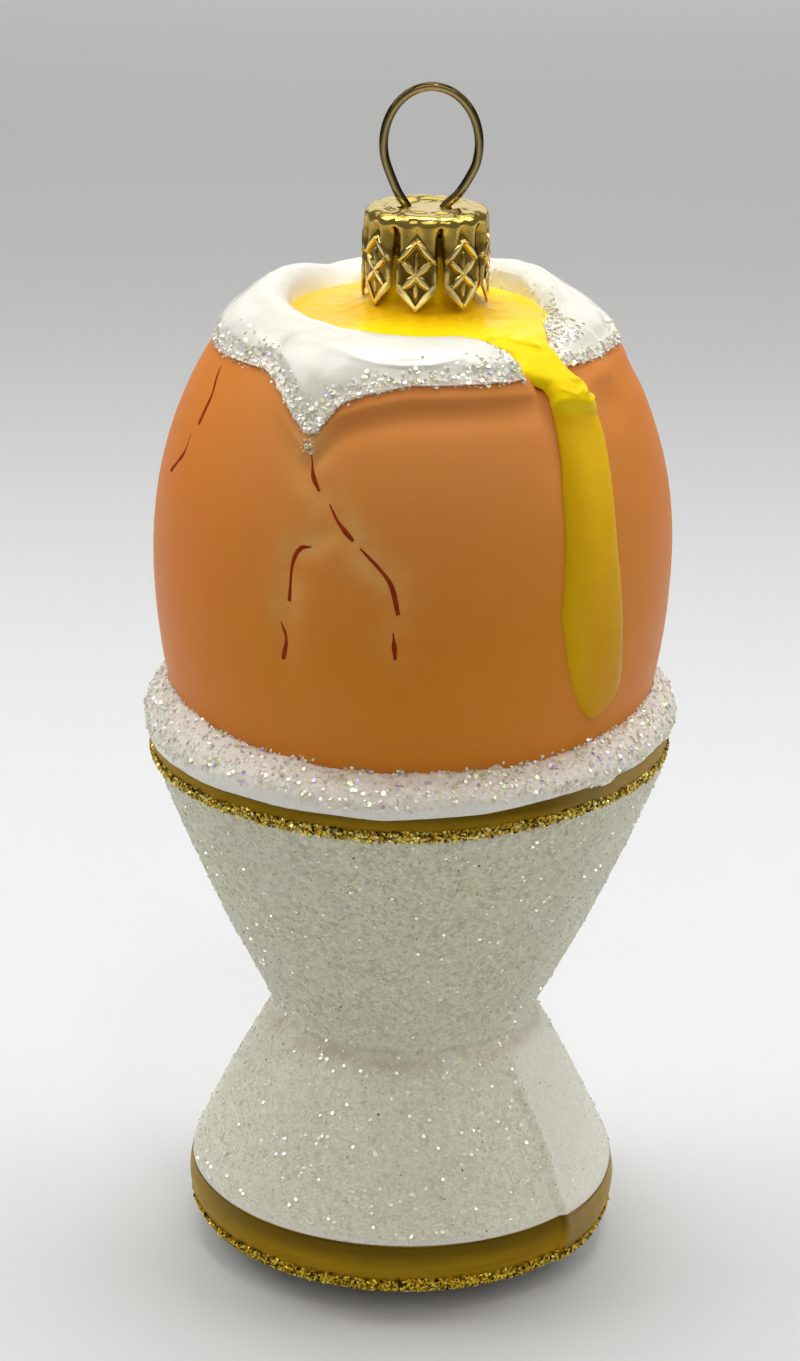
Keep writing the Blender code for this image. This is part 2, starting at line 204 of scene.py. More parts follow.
def write_points(piece, points):
    piece.data.vertices.foreach_set("co", points.astype(np.float32).ravel())
    piece.data.update()


def push_from_axis(piece, points, radius, relief):
    """Moves each point outwards from the axis by its relief."""
    points[:, :2] *= (1.0 + relief / np.maximum(radius, MM))[:, None]
    write_points(piece, points)


def push_along_normals(piece, amount):
    write_points(piece, read_points(piece) + read_points(piece, "normal") * amount[:, None])


def paint_mask(piece, name, values):
    """Stores one number per point, which a material can read by name."""
    layer = piece.data.attributes.new(name, "FLOAT", "POINT")
    layer.data.foreach_set("value", np.asarray(values, np.float32))


def curve_between(before, start, end, after, share):
    """Catmull-Rom curve: the softest simple line through start and end that knows both neighbours."""
    return 0.5 * (
        2.0 * start + (end - before) * share + (2.0 * before - 5.0 * start + 4.0 * end - after) * share**2
        + (3.0 * start - before - 3.0 * end + after) * share**3
    )


def smooth_line(corners, spacing):
    """Points along a soft open line through the corners, about spacing apart."""
    corners = np.array(corners, float)
    padded = np.vstack([2 * corners[0] - corners[1], corners, 2 * corners[-1] - corners[-2]])
    line = [corners[0]]
    for k in range(1, len(padded) - 2):
        steps = max(1, round(np.linalg.norm(padded[k + 1] - padded[k]) / spacing))
        line += [curve_between(*padded[k - 1 : k + 3], share) for share in np.arange(1, steps + 1) / steps]
    return np.array(line)


def rounded_loop(corners, per_side):
    """Points of a soft closed line through the corners, the same number on every side."""
    corners = np.array(corners, float)
    sides = [np.roll(corners, shift, axis=0)[:, None, :] for shift in (1, 0, -1, -2)]
    share = (np.arange(per_side) / per_side)[None, :, None]
    return curve_between(*sides, share).reshape(-1, 2)


def distance_to_line(points, line):
    """Shortest distance from each point to a line of corners, in as many dimensions as they have."""
    best = np.full(len(points), 1.0)
    for start, end in zip(line, line[1:]):
        along = end - start
        share = np.clip(((points - start) @ along) / (along @ along), 0.0, 1.0)
        best = np.minimum(best, np.linalg.norm(points - start - share[:, None] * along, axis=1))
    return best


def grain(points, size, seed):
    """Signed noise of one grain size, one value per point."""
    shift = Vector((seed, 2.0 * seed, -seed))
    return np.array([noise.noise(Vector(p) / size + shift) for p in points])


def put_in_order(piece):
    """Numbers points and faces by place. Spin's own order changes at each run, and random draws follow it."""
    points = read_points(piece)
    order = np.lexsort(points.T)
    rank = np.argsort(order).tolist()
    faces = []
    for face in piece.data.polygons:
        ring = [rank[v] for v in face.vertices]
        first = ring.index(min(ring))
        faces.append(ring[first:] + ring[:first])
    piece.data.clear_geometry()
    piece.data.from_pydata(points[order].tolist(), [], sorted(faces))
    piece.data.update()


def turn_outline(name, outline, steps):
    """Draws (radius, height) corners with extrusions and spins them into a turned body round the Z axis."""
    deselect_everything()
    bpy.ops.mesh.primitive_plane_add(size=MM)
    piece = name_active(name)
    edit_everything()
    bpy.ops.mesh.merge(type="CENTER")
    bpy.ops.transform.translate(value=(outline[0][0], 0.0, outline[0][1]))
    for (r0, z0), (r1, z1) in zip(outline, outline[1:]):
        bpy.ops.mesh.extrude_vertices_move(TRANSFORM_OT_translate={"value": (r1 - r0, 0.0, z1 - z0)})
    bpy.ops.mesh.select_all(action="SELECT")
    bpy.ops.mesh.spin(steps=steps, angle=math.tau, center=(0.0, 0.0, 0.0), axis=(0.0, 0.0, 1.0))
    bpy.ops.mesh.select_all(action="SELECT")
    bpy.ops.mesh.remove_doubles(threshold=1e-6)
    bpy.ops.mesh.normals_make_consistent(inside=False)
    bpy.ops.object.mode_set(mode="OBJECT")
    put_in_order(piece)
    piece.data.shade_smooth()
    return piece


def ring_of_sections(name, section, steps):
    """Spins the front section, then moves each point to its place in the section at its own azimuth."""
    plain = section(0.0)
    piece = turn_outline(name, [tuple(p) for p in plain] + [tuple(plain[0])], steps)
    radius, azimuth, height = polar(read_points(piece))
    away = np.abs(plain[None, :, 0] - radius[:, None]) + np.abs(plain[None, :, 1] - height[:, None])
    place = away.argmin(axis=1)
    for turn in np.unique(np.round(azimuth, 3)):
        here = np.abs(azimuth - turn) < 0.01
        radius[here], height[here] = section(float(turn))[place[here]].T
    return piece, place, radius, azimuth, height


def join_pieces(name, pieces):
    deselect_everything()
    for piece in pieces:
        piece.select_set(True)
    bpy.context.view_layer.objects.active = pieces[0]
    bpy.ops.object.join()
    return name_active(name)


def hand_over(piece, slot, *nodes):
    """Raises the piece, hangs it on the root body, hides the solids it stands for. The slot is not used."""
    piece.data.transform(Matrix.Translation((0.0, 0.0, LIFT)))
    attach(piece, "root")
    if nodes:
        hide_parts(*nodes)
    print(piece.name, len(piece.data.polygons), "faces")


# %% [markdown]
# ## Camera, floor and light
#
# The ornament stands on a wide pale floor. Two lights hang overhead with their beams held in, so upward
# faces are bright and the floor fades away in front and behind. Two side lights and a warm front light
# fill in, a low one behind rounds off the edges, and a last one brightens the far floor. One small lamp
# besides, as a room has, makes glitter, frost and metal glint and hardly lights anything else.

# %% Camera
CAMERA_DISTANCE = 320.0 * MM
CAMERA_HEIGHT = 170.9 * MM + LIFT
CAMERA_PITCH = 19.6
CAMERA_ROLL = 1.0
CAMERA_SIDESTEP = -1.0 * MM

camera_data = bpy.data.cameras.new("camera")
camera_data.sensor_width = 36.0
camera_data.lens = 91.5
camera_data.clip_start = 0.01
camera_data.clip_end = 20.0
camera = bpy.data.objects.new("camera", camera_data)
bpy.context.scene.collection.objects.link(camera)
pitch = Matrix.Rotation(math.radians(90.0 - CAMERA_PITCH), 4, "X")
roll = Matrix.Rotation(math.radians(CAMERA_ROLL), 4, "Z")
camera.matrix_world = Matrix.Translation((CAMERA_SIDESTEP, -CAMERA_DISTANCE, CAMERA_HEIGHT)) @ pitch @ roll
bpy.context.scene.camera = camera
print("camera", [round(value, 4) for value in camera.matrix_world.translation])


# %% Floor
def principled(name, colour, roughness, metallic=0.0, shine=0.5, shine_tint=(1.0, 1.0, 1.0)):
    material = bpy.data.materials.new(name)
    material.use_nodes = True
    shader = material.node_tree.nodes["Principled BSDF"]
    shader.inputs["Base Color"].default_value = (*colour, 1.0)
    shader.inputs["Roughness"].default_value = roughness
    shader.inputs["Metallic"].default_value = metallic
    shader.inputs["Specular IOR Level"].default_value = shine
    shader.inputs["Specular Tint"].default_value = (*shine_tint, 1.0)
    return material, shader


deselect_everything()
bpy.ops.mesh.primitive_plane_add(size=6.0)
floor = name_active("floor")
floor_material, _ = principled("floor_paper", (0.655, 0.665, 0.68), 0.9)
floor.data.materials.append(floor_material)
print("floor", [round(side, 2) for side in floor.dimensions])


# %% Lights
# Each light as name, place, what it faces, width, depth, watts, colour and the angle of its beam.
LIGHTS = (
    ("top_light", (0.0, 0.23, 0.58), (0.0, 0.03, 0.0), 1.10, 0.42, 0.80, (0.99, 1.0, 1.0), 130.0),
    ("overhead_light", (0.0, 0.10, 0.60), (0.0, 0.06, 0.0), 1.10, 0.30, 0.60, (0.99, 1.0, 1.0), 50.0),
    ("left_light", (-0.42, 0.02, 0.50), (0.0, 0.0, 0.03), 0.30, 0.35, 1.02, (1.0, 0.99, 0.97), 180.0),
    ("right_light", (0.44, 0.02, 0.50), (0.0, 0.0, 0.03), 0.30, 0.35, 0.84, (1.0, 0.99, 0.97), 180.0),
    ("front_light", (0.10, -0.80, 0.95), (0.0, 0.0, 0.06), 1.10, 0.50, 1.92, (1.0, 0.96, 0.87), 180.0),
    ("back_light", (0.0, 1.30, 0.45), (0.0, 0.0, 0.10), 1.60, 0.60, 2.35, (1.0, 0.99, 0.96), 180.0),
    ("far_floor_light", (0.0, 1.05, 0.90), (0.0, 1.05, 0.0), 1.80, 0.50, 2.35, (1.0, 1.0, 1.0), 110.0),
    ("small_lamp", (0.12, -0.55, 1.10), (0.0, 0.0, 0.06), 0.06, 0.06, 0.75, (1.0, 0.97, 0.90), 180.0),
)
for name, place, target, width, depth, watts, colour, beam in LIGHTS:
    light = bpy.data.lights.new(name, "AREA")
    light.shape = "RECTANGLE"
    light.size = width
    light.size_y = depth
    light.energy = watts
    light.color = colour
    light.spread = math.radians(beam)
    lamp = bpy.data.objects.new(name, light)
    bpy.context.scene.collection.objects.link(lamp)
    lamp.visible_camera = False
    aim = (Vector(target) - Vector(place)).to_track_quat("-Z", "Y").to_matrix().to_4x4()
    lamp.matrix_world = Matrix.Translation(place) @ aim

world = bpy.data.worlds.new("room")
world.use_nodes = True
room = world.node_tree.nodes["Background"]
room.inputs["Color"].default_value = (1.0, 0.97, 0.88, 1.0)
room.inputs["Strength"].default_value = 0.165
bpy.context.scene.world = world
bpy.context.scene.view_settings.view_transform = "Standard"
print("lights", len(LIGHTS))

# %% [markdown]
# ## The cup
#
# The real cup is the lower half of the glass bubble, coated with fine clear sugar grain everywhere except
# on its two gold bands. It could be lofted, but it is a turned shape, so its outline is spun. A second
# step presses in what the mould left: a seam down the front right and its twin at the back, and it lays
# on the grain.

# %% Turn the cup
FOOT_TOP = 6.25 * MM
FROST_START = 6.55 * MM
WAIST_RADIUS = 12.8 * MM
WAIST_HEIGHT = 23.2 * MM
BOWL_RADIUS = 25.1 * MM
BAND_LOW = 50.6 * MM
BAND_RADIUS = 25.3 * MM
SEAM_AZIMUTH = 48.0
GRAIN_COAT = 0.17 * MM
CUP_STEPS = 420
CUP_SPACING = 0.34 * MM


def bowed(low, high, bow, steps=14):
    """A line from low to high that bulges outwards by bow in its middle."""
    share = np.arange(1, steps + 1)[:, None] / steps
    line = np.array(low) + (np.array(high) - np.array(low)) * share
    line[:, 0] += bow * 4.0 * share[:, 0] * (1.0 - share[:, 0])
    return [tuple(point) for point in line]


swollen_foot = [
    (10.5 * MM, -LIFT), (14.8 * MM, -0.7 * LIFT), (17.9 * MM, -0.24 * LIFT), (19.8 * MM, 0.35 * MM),
]
foot_edge = [(20.6 * MM, 1.0 * MM), (21.35 * MM, 2.4 * MM), (FOOT_RADIUS, 4.2 * MM), (21.38 * MM, FOOT_TOP)]
near_waist = WAIST_RADIUS + 0.25 * MM
foot_slope = bowed(foot_edge[-1], (near_waist, WAIST_HEIGHT - 0.5 * MM), 0.3 * MM)
bowl_slope = bowed((near_waist, WAIST_HEIGHT + 0.5 * MM), (BOWL_RADIUS, BAND_LOW), 0.6 * MM)
rim = [(BAND_RADIUS, BAND_LOW + 1.6 * MM), (BAND_RADIUS - 0.15 * MM, CUP_TOP - 0.8 * MM)]
skin = smooth_line(
    swollen_foot + foot_edge + foot_slope + [(WAIST_RADIUS, WAIST_HEIGHT)] + bowl_slope + rim, CUP_SPACING
)
cup_outline = [(0.0, -LIFT), (6.0 * MM, -LIFT), *[tuple(p) for p in skin]]
cup_outline += [(22.0 * MM, CUP_TOP - 0.4 * MM), (0.0, CUP_TOP - 0.4 * MM)]
cup = turn_outline("cup_frosted", cup_outline, CUP_STEPS)
print("cup", len(cup.data.vertices), "points")


# %% Press the seam and dust the cup
def seam_relief(azimuth, height):
    """The mould seam: a low ridge and, at the gold band, a crisp step between the halves of the mould."""
    wander = 2.0 * np.sin((height / MM - 6.0) * 0.35)
    relief = np.zeros_like(height)
    for centre in (SEAM_AZIMUTH, SEAM_AZIMUTH - 180.0):
        off = around(azimuth, centre + wander * ease(FOOT_TOP + 2.0 * MM, 14.0 * MM, height))
        arc = np.radians(off) * 20.0 * MM
        ridge = 0.50 * MM * bell(arc, 0.50 * MM) * ease(FOOT_TOP - 0.5 * MM, FOOT_TOP + 1.5 * MM, height)
        ridge *= 1.0 - ease(WAIST_HEIGHT - 5.0 * MM, WAIST_HEIGHT - 1.0 * MM, height)
        step = 0.5 * MM * ease(-0.13 * MM, 0.13 * MM, arc) * ease(34.0, 3.0, off)
        step *= 1.0 - ease(FOOT_TOP - 1.2 * MM, FOOT_TOP + 2.6 * MM, height)
        relief += ridge + step * ease(-1.5 * MM, 0.3 * MM, height)
    return relief


points, radius, azimuth, height = read_polar(cup)
outside = (radius > 12.0 * MM) & (height < CUP_TOP - 0.6 * MM)
frosted = ease(FROST_START - 0.05 * MM, FROST_START + 0.15 * MM, height)
frosted *= (1.0 - ease(BAND_LOW - 0.3 * MM, BAND_LOW, height)) * outside
coarse = grain(points, 0.75 * MM, 3.0)
fine = grain(points, 0.34 * MM, 8.0)
relief = np.where(outside, seam_relief(azimuth, height), 0.0)
relief += frosted * GRAIN_COAT * (0.9 + 0.7 * coarse + 0.5 * fine)
relief += 0.10 * MM * bell(height - 6.4 * MM, 0.18 * MM) * outside
ragged = ease(-1.4 * MM, -0.2 * MM, height) * (1.0 - ease(0.4 * MM, 0.9 * MM, height)) * outside
relief += 0.5 * MM * ragged * np.maximum(0.0, grain(points, 1.1 * MM, 12.0))
push_from_axis(cup, points, radius, relief)
paint_mask(cup, "frosted", frosted)
paint_mask(cup, "grit", np.clip(0.5 + 0.9 * coarse + 0.9 * fine, 0.0, 1.0) * frosted)
paint_mask(cup, "waist_stain", bell(height - (WAIST_HEIGHT - 1.2 * MM), 0.8 * MM) * outside)
# Right of the seam the coat is thinner and cleaner.
right_of_seam = ease(0.0, 2.5, around(azimuth, SEAM_AZIMUTH)) * ease(130.0, 70.0, azimuth) * (azimuth > 0.0)
right_of_seam *= 1.0 - 0.75 * ease(WAIST_HEIGHT - 3.0 * MM, WAIST_HEIGHT + 1.0 * MM, height)
paint_mask(cup, "blush", right_of_seam * frosted)
# Painted light and shade: the frosting is painted lighter on the foot and darker on the bowl.
paint_mask(cup, "bowl", ease(WAIST_HEIGHT - 1.0 * MM, WAIST_HEIGHT + 3.0 * MM, height))
print("frosted points", int(frosted.sum()))

# %% [markdown]
# ## Gold bands
#
# The bands are gold paint brushed straight onto the bare glass, one under the rim and one round the foot.
# They could be a colour on the cup, but a thin sleeve of its own gives each a clean edge, so each is a
# short turned ring that sits a hair outside the cup. It reaches under the line of gold glitter that
# borders it.

# %% Turn the gold bands
def gold_climb(azimuth):
    """How far the upper gold line climbs towards the right, where the maker's brush ran up."""
    return 0.85 * MM * ease(5.0, 48.0, azimuth) * (1.0 - ease(90.0, 170.0, azimuth))


def turned_sleeve(name, line, lift, steps):
    """A closed thin sleeve along the line, lifted off it by lift and reaching inside it."""
    outer = line + np.array([lift, 0.0])
    inner = line[::-1] - np.array([4.0 * lift, 0.0])
    return turn_outline(name, [tuple(p) for p in np.vstack([outer, inner, outer[:1]])], steps)


foot_corners = [(19.95 * MM, 0.45 * MM), *foot_edge[:3], (21.43 * MM, FOOT_TOP - 0.08 * MM)]
foot_line = smooth_line(foot_corners, 0.3 * MM)
foot_band = turned_sleeve("foot_band", foot_line, 0.06 * MM, CUP_STEPS)
points, radius, azimuth, height = read_polar(foot_band)
push_from_axis(foot_band, points, radius, seam_relief(azimuth, height))
worn_right = ease(0.0, 1.5, around(azimuth, SEAM_AZIMUTH)) * (azimuth > 0.0) * ease(150.0, 60.0, azimuth)
worn_left = 0.7 * ease(-35.0, -75.0, azimuth) * ease(-179.0, -120.0, azimuth)
paint_mask(foot_band, "worn", worn_right + worn_left)
paint_mask(foot_band, "upper", ease(3.0 * MM, 5.6 * MM, height))

bowl_corners = [(25.1 * MM, 50.2 * MM), (25.2 * MM, BAND_LOW), *rim[:1], (25.2 * MM, CUP_TOP - 0.7 * MM)]
bowl_line = smooth_line(bowl_corners, 0.3 * MM)
bowl_band = turned_sleeve("bowl_band", bowl_line, 0.06 * MM, CUP_STEPS)
points, radius, azimuth, height = read_polar(bowl_band)
points[:, 2] += gold_climb(azimuth) * (1.0 - ease(BAND_LOW, BAND_LOW + 1.5 * MM, height))
write_points(bowl_band, points)
paint_mask(bowl_band, "worn", 0.8 * ease(25.0, 55.0, azimuth) + 0.3 * ease(-35.0, -75.0, azimuth))
paint_mask(bowl_band, "upper", 0.55 + 0.45 * ease(51.6 * MM, 52.6 * MM, height))
print("bands", len(foot_band.data.polygons), len(bowl_band.data.polygons), "faces")

# %% [markdown]
# ## The shell
#
# The brown shell is one smooth lacquered field. Its relief is shallow: a soft rolled ledge runs just
# below the white, a valley follows the yolk's drip, and the crack is a shallow groove that forks. The
# turned egg gets enough rings to hold those, and the relief is pressed in.

# %% Border and crack lines
# Height at which the white ends, by azimuth: the long drip hangs at the front left.
BORDER_MARKS = (
    (-180.0, 90.2), (-165.0, 91.3), (-140.0, 90.7), (-120.0, 91.5), (-100.0, 91.35), (-75.0, 91.3),
    (-58.0, 91.5), (-46.0, 91.6), (-41.0, 90.9), (-36.0, 89.7), (-31.0, 88.4), (-27.0, 87.25),
    (-24.5, 87.25), (-22.2, 88.4), (-20.3, 89.9), (-13.0, 91.0), (-2.0, 91.85), (10.0, 91.9),
    (27.0, 91.9), (46.0, 92.3), (52.0, 92.2), (60.0, 92.1), (75.0, 92.1), (100.0, 91.4), (125.0, 90.5),
    (145.0, 91.6), (165.0, 91.0), (180.0, 90.2),
)

# Each stroke of the crack as (azimuth, height) corners, top to bottom.
CRACK_STROKES = (
    ((-25.2, 85.5), (-24.0, 83.9), (-21.7, 82.5)),
    ((-18.9, 81.5), (-16.5, 80.0), (-13.0, 78.5)),
    ((-11.4, 77.9), (-7.6, 76.4), (-4.5, 74.7), (-2.9, 72.0)),
    ((-3.9, 70.3), (-3.4, 67.7)),
    ((-20.6, 78.5), (-22.2, 77.6), (-24.7, 77.3), (-26.3, 75.8), (-26.7, 72.3)),
    ((-28.6, 70.2), (-27.4, 68.6), (-28.3, 66.6)),
    ((-66.7, 90.4), (-65.6, 89.4), (-63.8, 88.2), (-63.7, 87.1), (-64.2, 85.3)),
    ((-66.4, 84.2), (-66.6, 82.6), (-69.0, 81.4), (-72.4, 80.1)),
)
CRACK_PATHS = (
    ((-25.5, 87.0), (-24.0, 83.9), (-18.9, 81.0), (-12.0, 78.1), (-6.0, 75.6), (-3.0, 72.0), (-3.6, 67.4)),
    ((-16.0, 79.6), (-21.5, 78.0), (-25.5, 76.8), (-26.7, 73.0), (-27.5, 69.5), (-28.4, 66.3)),
)
LEDGE = 0.55 * MM
# Left side of the yolk's drip as (height, azimuth).
DRIP_LEFT = ((60.0, 41.0), (65.5, 35.2), (70.0, 32.5), (75.4, 33.5), (81.8, 34.5), (87.2, 36.2), (90.0, 36.8))


def white_border(azimuth):
    return marked(azimuth, BORDER_MARKS)


def on_shell(azimuth, height):
    azimuth, height = np.asarray(azimuth, float), np.asarray(height, float)
    return cartesian(shell_radius(height), azimuth, height)


def near_crack(points, width):
    """1 on the crack, fading to 0 beyond the width."""
    best = np.zeros(len(points))
    for path in CRACK_PATHS:
        corners = np.array(path) * np.array([1.0, MM])
        best = np.maximum(best, bell(distance_to_line(points, on_shell(*corners.T)), width))
    return best


def ledge_rise(azimuth):
    """How far the rolled ledge under the white stands out: across the front, and again right of the spill."""
    azimuth = np.asarray(azimuth, float)
    right = 0.3 * ease(66.0, 84.0, azimuth) * (1.0 - ease(140.0, 172.0, azimuth))
    return LEDGE * (ease(-44.0, -18.0, azimuth) * (1.0 - ease(32.5, 36.5, azimuth)) + right)


def shell_relief(azimuth, height):
    """Relief of the shell in metres: ledge and hollow under the white, forked groove, forms by the drip."""
    below = white_border(azimuth) - height
    ledge = 1.0 - ease(0.9 * MM, 2.1 * MM, below) - 0.55 * bell(below - 2.9 * MM, 1.0 * MM)
    groove = near_crack(on_shell(azimuth, height), 1.1 * MM)
    drip = np.array(DRIP_LEFT)
    beside = np.radians(azimuth - np.interp(height / MM, drip[:, 0], drip[:, 1]) + 1.5) * 22.0 * MM
    valley = bell(beside, 0.75 * MM) * ease(80.0 * MM, 86.0 * MM, height)
    bulge = bell(around(azimuth, 61.0), 8.0) * bell(height - 90.9 * MM, 1.0 * MM)
    bulge *= ease(-0.2 * MM, 0.5 * MM, below)
    dent = bell(around(azimuth, 60.0), 6.0) * bell(height - 88.0 * MM, 1.7 * MM)
    tucked = 0.9 * MM * ease(0.05 * MM, 0.45 * MM, -below)
    hollows = tucked + (0.22 * groove + 0.35 * valley + 0.42 * dent) * MM
    return ledge * ledge_rise(azimuth) + 0.4 * MM * bulge - hollows


# %% Turn and press the shell
SHELL_STEPS = 380
SHELL_FOOT = 53.6
heights = np.concatenate([np.arange(SHELL_FOOT, 84.0, 0.5), np.arange(84.0, 92.6, 0.22)]) * MM
shell_outline = [(0.0, SHELL_FOOT * MM), (18.0 * MM, SHELL_FOOT * MM)]
shell_outline += [(float(shell_radius(h)), float(h)) for h in heights[1:]]
shell_outline += [(16.5 * MM, 92.7 * MM), (14.0 * MM, 92.8 * MM), (0.0, 92.8 * MM)]
shell = turn_outline("shell", shell_outline, SHELL_STEPS)

points, radius, azimuth, height = read_polar(shell)
lacquered = (height > 54.0 * MM) & (radius > 17.0 * MM)
relief = np.where(lacquered, shell_relief(azimuth, height) + 0.05 * MM * grain(points, 7.0 * MM, 5.0), 0.0)
under_spill = bell(around(azimuth, 41.0), 9.0) * ease(90.2 * MM, 91.2 * MM, height)
relief -= 0.8 * MM * under_spill * lacquered
paint_mask(shell, "crack_halo", near_crack(points, 1.9 * MM) * ease(64.0 * MM, 76.0 * MM, height))
# Painted shade: the shell's sides, away from the front, are painted a deeper, darker orange.
paint_mask(shell, "shaded_flank", ease(30.0, 85.0, np.abs(around(azimuth, 8.0))))
paint_mask(shell, "rise", ease(66.0 * MM, 90.0 * MM, height))
push_from_axis(shell, points, radius, relief)
print("shell", len(points), "points")

# %% [markdown]
# ## Crack strokes
#
# The painter drew the crack with a fine brush, in short strokes that swell and taper. A texture would
# blur them, so each stroke is a thin tube along the shell, pressed almost flat.

# %% Draw the crack strokes
STROKE_WIDTH = 0.22 * MM
STROKE_FLATNESS = 0.3
SWELL_START = 0.45


def bend_rod(name, places, widths, thickness):
    """A round rod of changing width along the places: a bevelled curve, converted to a mesh."""
    curve = bpy.data.curves.new(name, "CURVE")
    curve.dimensions = "3D"
    curve.bevel_depth = thickness
    curve.bevel_resolution = 6
    curve.use_fill_caps = True
    spline = curve.splines.new("POLY")
    spline.points.add(len(places) - 1)
    for knot, place, width in zip(spline.points, places, widths):
        knot.co = (*place, 1.0)
        knot.radius = width
    rod = bpy.data.objects.new(name, curve)
    bpy.context.scene.collection.objects.link(rod)
    select_only(rod)
    bpy.ops.object.convert(target="MESH")
    rod = name_active(name)
    rod.data.shade_smooth()
    return rod


def draw_stroke(name, corners):
    line = smooth_line(corners, 0.35)
    share = np.linspace(0.0, 1.0, len(line))
    swell = (0.35 + 0.65 * ease(0.0, SWELL_START, share)) * (0.9 + 0.2 * np.sin(9.0 * share + len(line)))
    reach = shell_radius(line[:, 1] * MM) + shell_relief(line[:, 0], line[:, 1] * MM)
    stroke_rod = bend_rod(name, cartesian(reach, line[:, 0], line[:, 1] * MM), swell, STROKE_WIDTH)
    points, radius, azimuth, height = read_polar(stroke_rod)
    surface = shell_radius(height) + shell_relief(azimuth, height)
    points[:, :2] *= ((surface + (radius - surface) * STROKE_FLATNESS) / radius)[:, None]
    write_points(stroke_rod, points)
    return stroke_rod


strokes = [draw_stroke(f"stroke_{k}", corners) for k, corners in enumerate(CRACK_STROKES)]
cracks = join_pieces("crack_strokes", strokes)
print("cracks", len(cracks.data.polygons), "faces")

# %% [markdown]
# ## The white
#
# The white is a thick rolled rim round the pool, moulded in the glass and enamelled glossy white. Towards
# its border it thins to a skin of clear glue, which the glitter sits in. It is spun as a plain ring, then
# each point is moved to where the rim really runs at that azimuth. The thick roll and the thin skin are
# both worked out, and the distance to the border says how much of each a point takes.

# %% Lines of the white
POOL_RADIUS = 11.7 * MM
WHITE_COAT = 0.85 * MM
SKIN_COAT = 0.3 * MM
FRINGE = 1.15 * MM
WHITE_STEPS = 400
CREST_MARKS = (
    (-180.0, 96.4), (-158.0, 96.25), (-144.0, 95.75), (-134.0, 96.35), (-120.0, 96.6), (-95.0, 96.35),
    (-60.0, 95.75), (-30.0, 95.3), (0.0, 95.15), (27.0, 95.1), (60.0, 94.75), (80.0, 94.9), (95.0, 95.2),
    (110.0, 95.85), (124.0, 96.7), (138.0, 96.9), (152.0, 96.5), (180.0, 96.4),
)
# Sides of the yolk's spill as (radius, azimuth).
SPILL_LEFT = (
    (9.0, 14.0), (12.0, 21.0), (13.5, 26.0), (14.4, 29.5), (15.9, 32.8), (17.1, 31.5), (18.6, 30.1),
    (20.5, 31.0),
)
SPILL_RIGHT = (
    (9.0, 122.0), (10.2, 108.0), (11.4, 84.0), (12.85, 67.0), (14.0, 58.5), (15.7, 50.5), (17.5, 49.3),
    (18.6, 47.8), (20.5, 50.0),
)
# Top of the thin skin between yolk and shell as (radius, height).
SKIN_TOP = ((10.0, 94.0), (12.0, 94.2), (14.0, 94.0), (15.6, 93.6), (17.0, 93.0), (18.3, 92.15), (19.5, 91.0))


def skin_height(radius):
    marks = np.array(SKIN_TOP) * MM
    return np.interp(radius, marks[:, 0], marks[:, 1])


def spill_side(side):
    marks = np.array(side)
    return cartesian(marks[:, 0] * MM, marks[:, 1], skin_height(marks[:, 0] * MM))


def in_spill(radius, azimuth, soft):
    """1 inside the spill, 0 outside it, with an edge that is soft degrees wide."""
    left = np.interp(radius / MM, *np.array(SPILL_LEFT).T)
    right = np.interp(radius / MM, *np.array(SPILL_RIGHT).T)
    past_left = ease(left - 0.3 * soft, left + soft, azimuth)
    return past_left * (1.0 - ease(right - soft, right + 0.3 * soft, azimuth))


def white_section(azimuth, thick=True):
    """Closed cross-section of the white at one azimuth, over the crest to the border and back below."""
    turn = math.radians(azimuth)
    crest = float(marked(azimuth, CREST_MARKS))
    crest_radius = 13.9 * MM + 0.25 * MM * math.sin(2.0 * turn + 0.4)
    front = float(bell(around(azimuth, 5.0), 55.0))
    shoulder = crest - (1.45 - 0.9 * front) * MM
    border = float(white_border(azimuth))
    ledge = float(ledge_rise(azimuth))
    coat = WHITE_COAT + 0.3 * ledge if thick else SKIN_COAT + ledge
    wall = [border + share * (shoulder - 0.45 * MM - border) for share in (0.82, 0.55, 0.3, 0.12, 0.03)]
    pool_edge = POOL_RADIUS + 0.1 * MM
    top = [
        (pool_edge, 94.25 * MM),
        (crest_radius - 1.5 * MM, crest - 0.85 * MM),
        (crest_radius - 0.5 * MM, crest - 0.14 * MM),
        (crest_radius + 0.8 * MM, crest - 0.08 * MM),
        (crest_radius + 1.9 * MM, crest - (0.65 - 0.4 * front) * MM),
        (float(shell_radius(shoulder)) + 0.55 * MM, shoulder),
    ]
    if not thick:
        top = [(radius, float(skin_height(radius))) for radius, _ in top]
    return rounded_loop(
        [
            (POOL_RADIUS - 0.5 * MM, 92.9 * MM), *top,
            *[(float(shell_radius(h)) + coat, h) for h in wall],
            (float(shell_radius(border)) + ledge + 0.02 * MM, border - 0.03 * MM),
            (float(shell_radius(border + 0.25 * MM)) - 0.35 * MM, border + 0.25 * MM),
            (16.5 * MM, 91.3 * MM), (POOL_RADIUS - 0.5 * MM, 91.7 * MM),
        ],
        7,
    )


# %% Turn and shape the white
white, place, radius, azimuth, height = ring_of_sections("white_rim", white_section, WHITE_STEPS)
low_radius, low_height = radius.copy(), height.copy()
for turn in np.unique(np.round(azimuth, 3)):
    here = np.abs(azimuth - turn) < 0.01
    low_radius[here], low_height[here] = white_section(float(turn), False)[place[here]].T
low = cartesian(low_radius, azimuth, low_height)
rounds = np.arange(48.0, 391.0, 1.5)
border_radius = shell_radius(white_border(rounds)) + ledge_rise(around(rounds, 0.0))
to_border = distance_to_line(low, cartesian(border_radius, rounds, white_border(rounds)))
to_left, to_right = (distance_to_line(low, spill_side(side)) for side in (SPILL_LEFT, SPILL_RIGHT))
to_spill = np.minimum(to_left, to_right)
inwards = (to_border**-3.0 + to_spill**-3.0) ** (-1.0 / 3.0)
wider = 0.55 * bell(around(azimuth, 60.0), 16.0) + 0.45 * bell(around(azimuth, -45.0), 22.0)
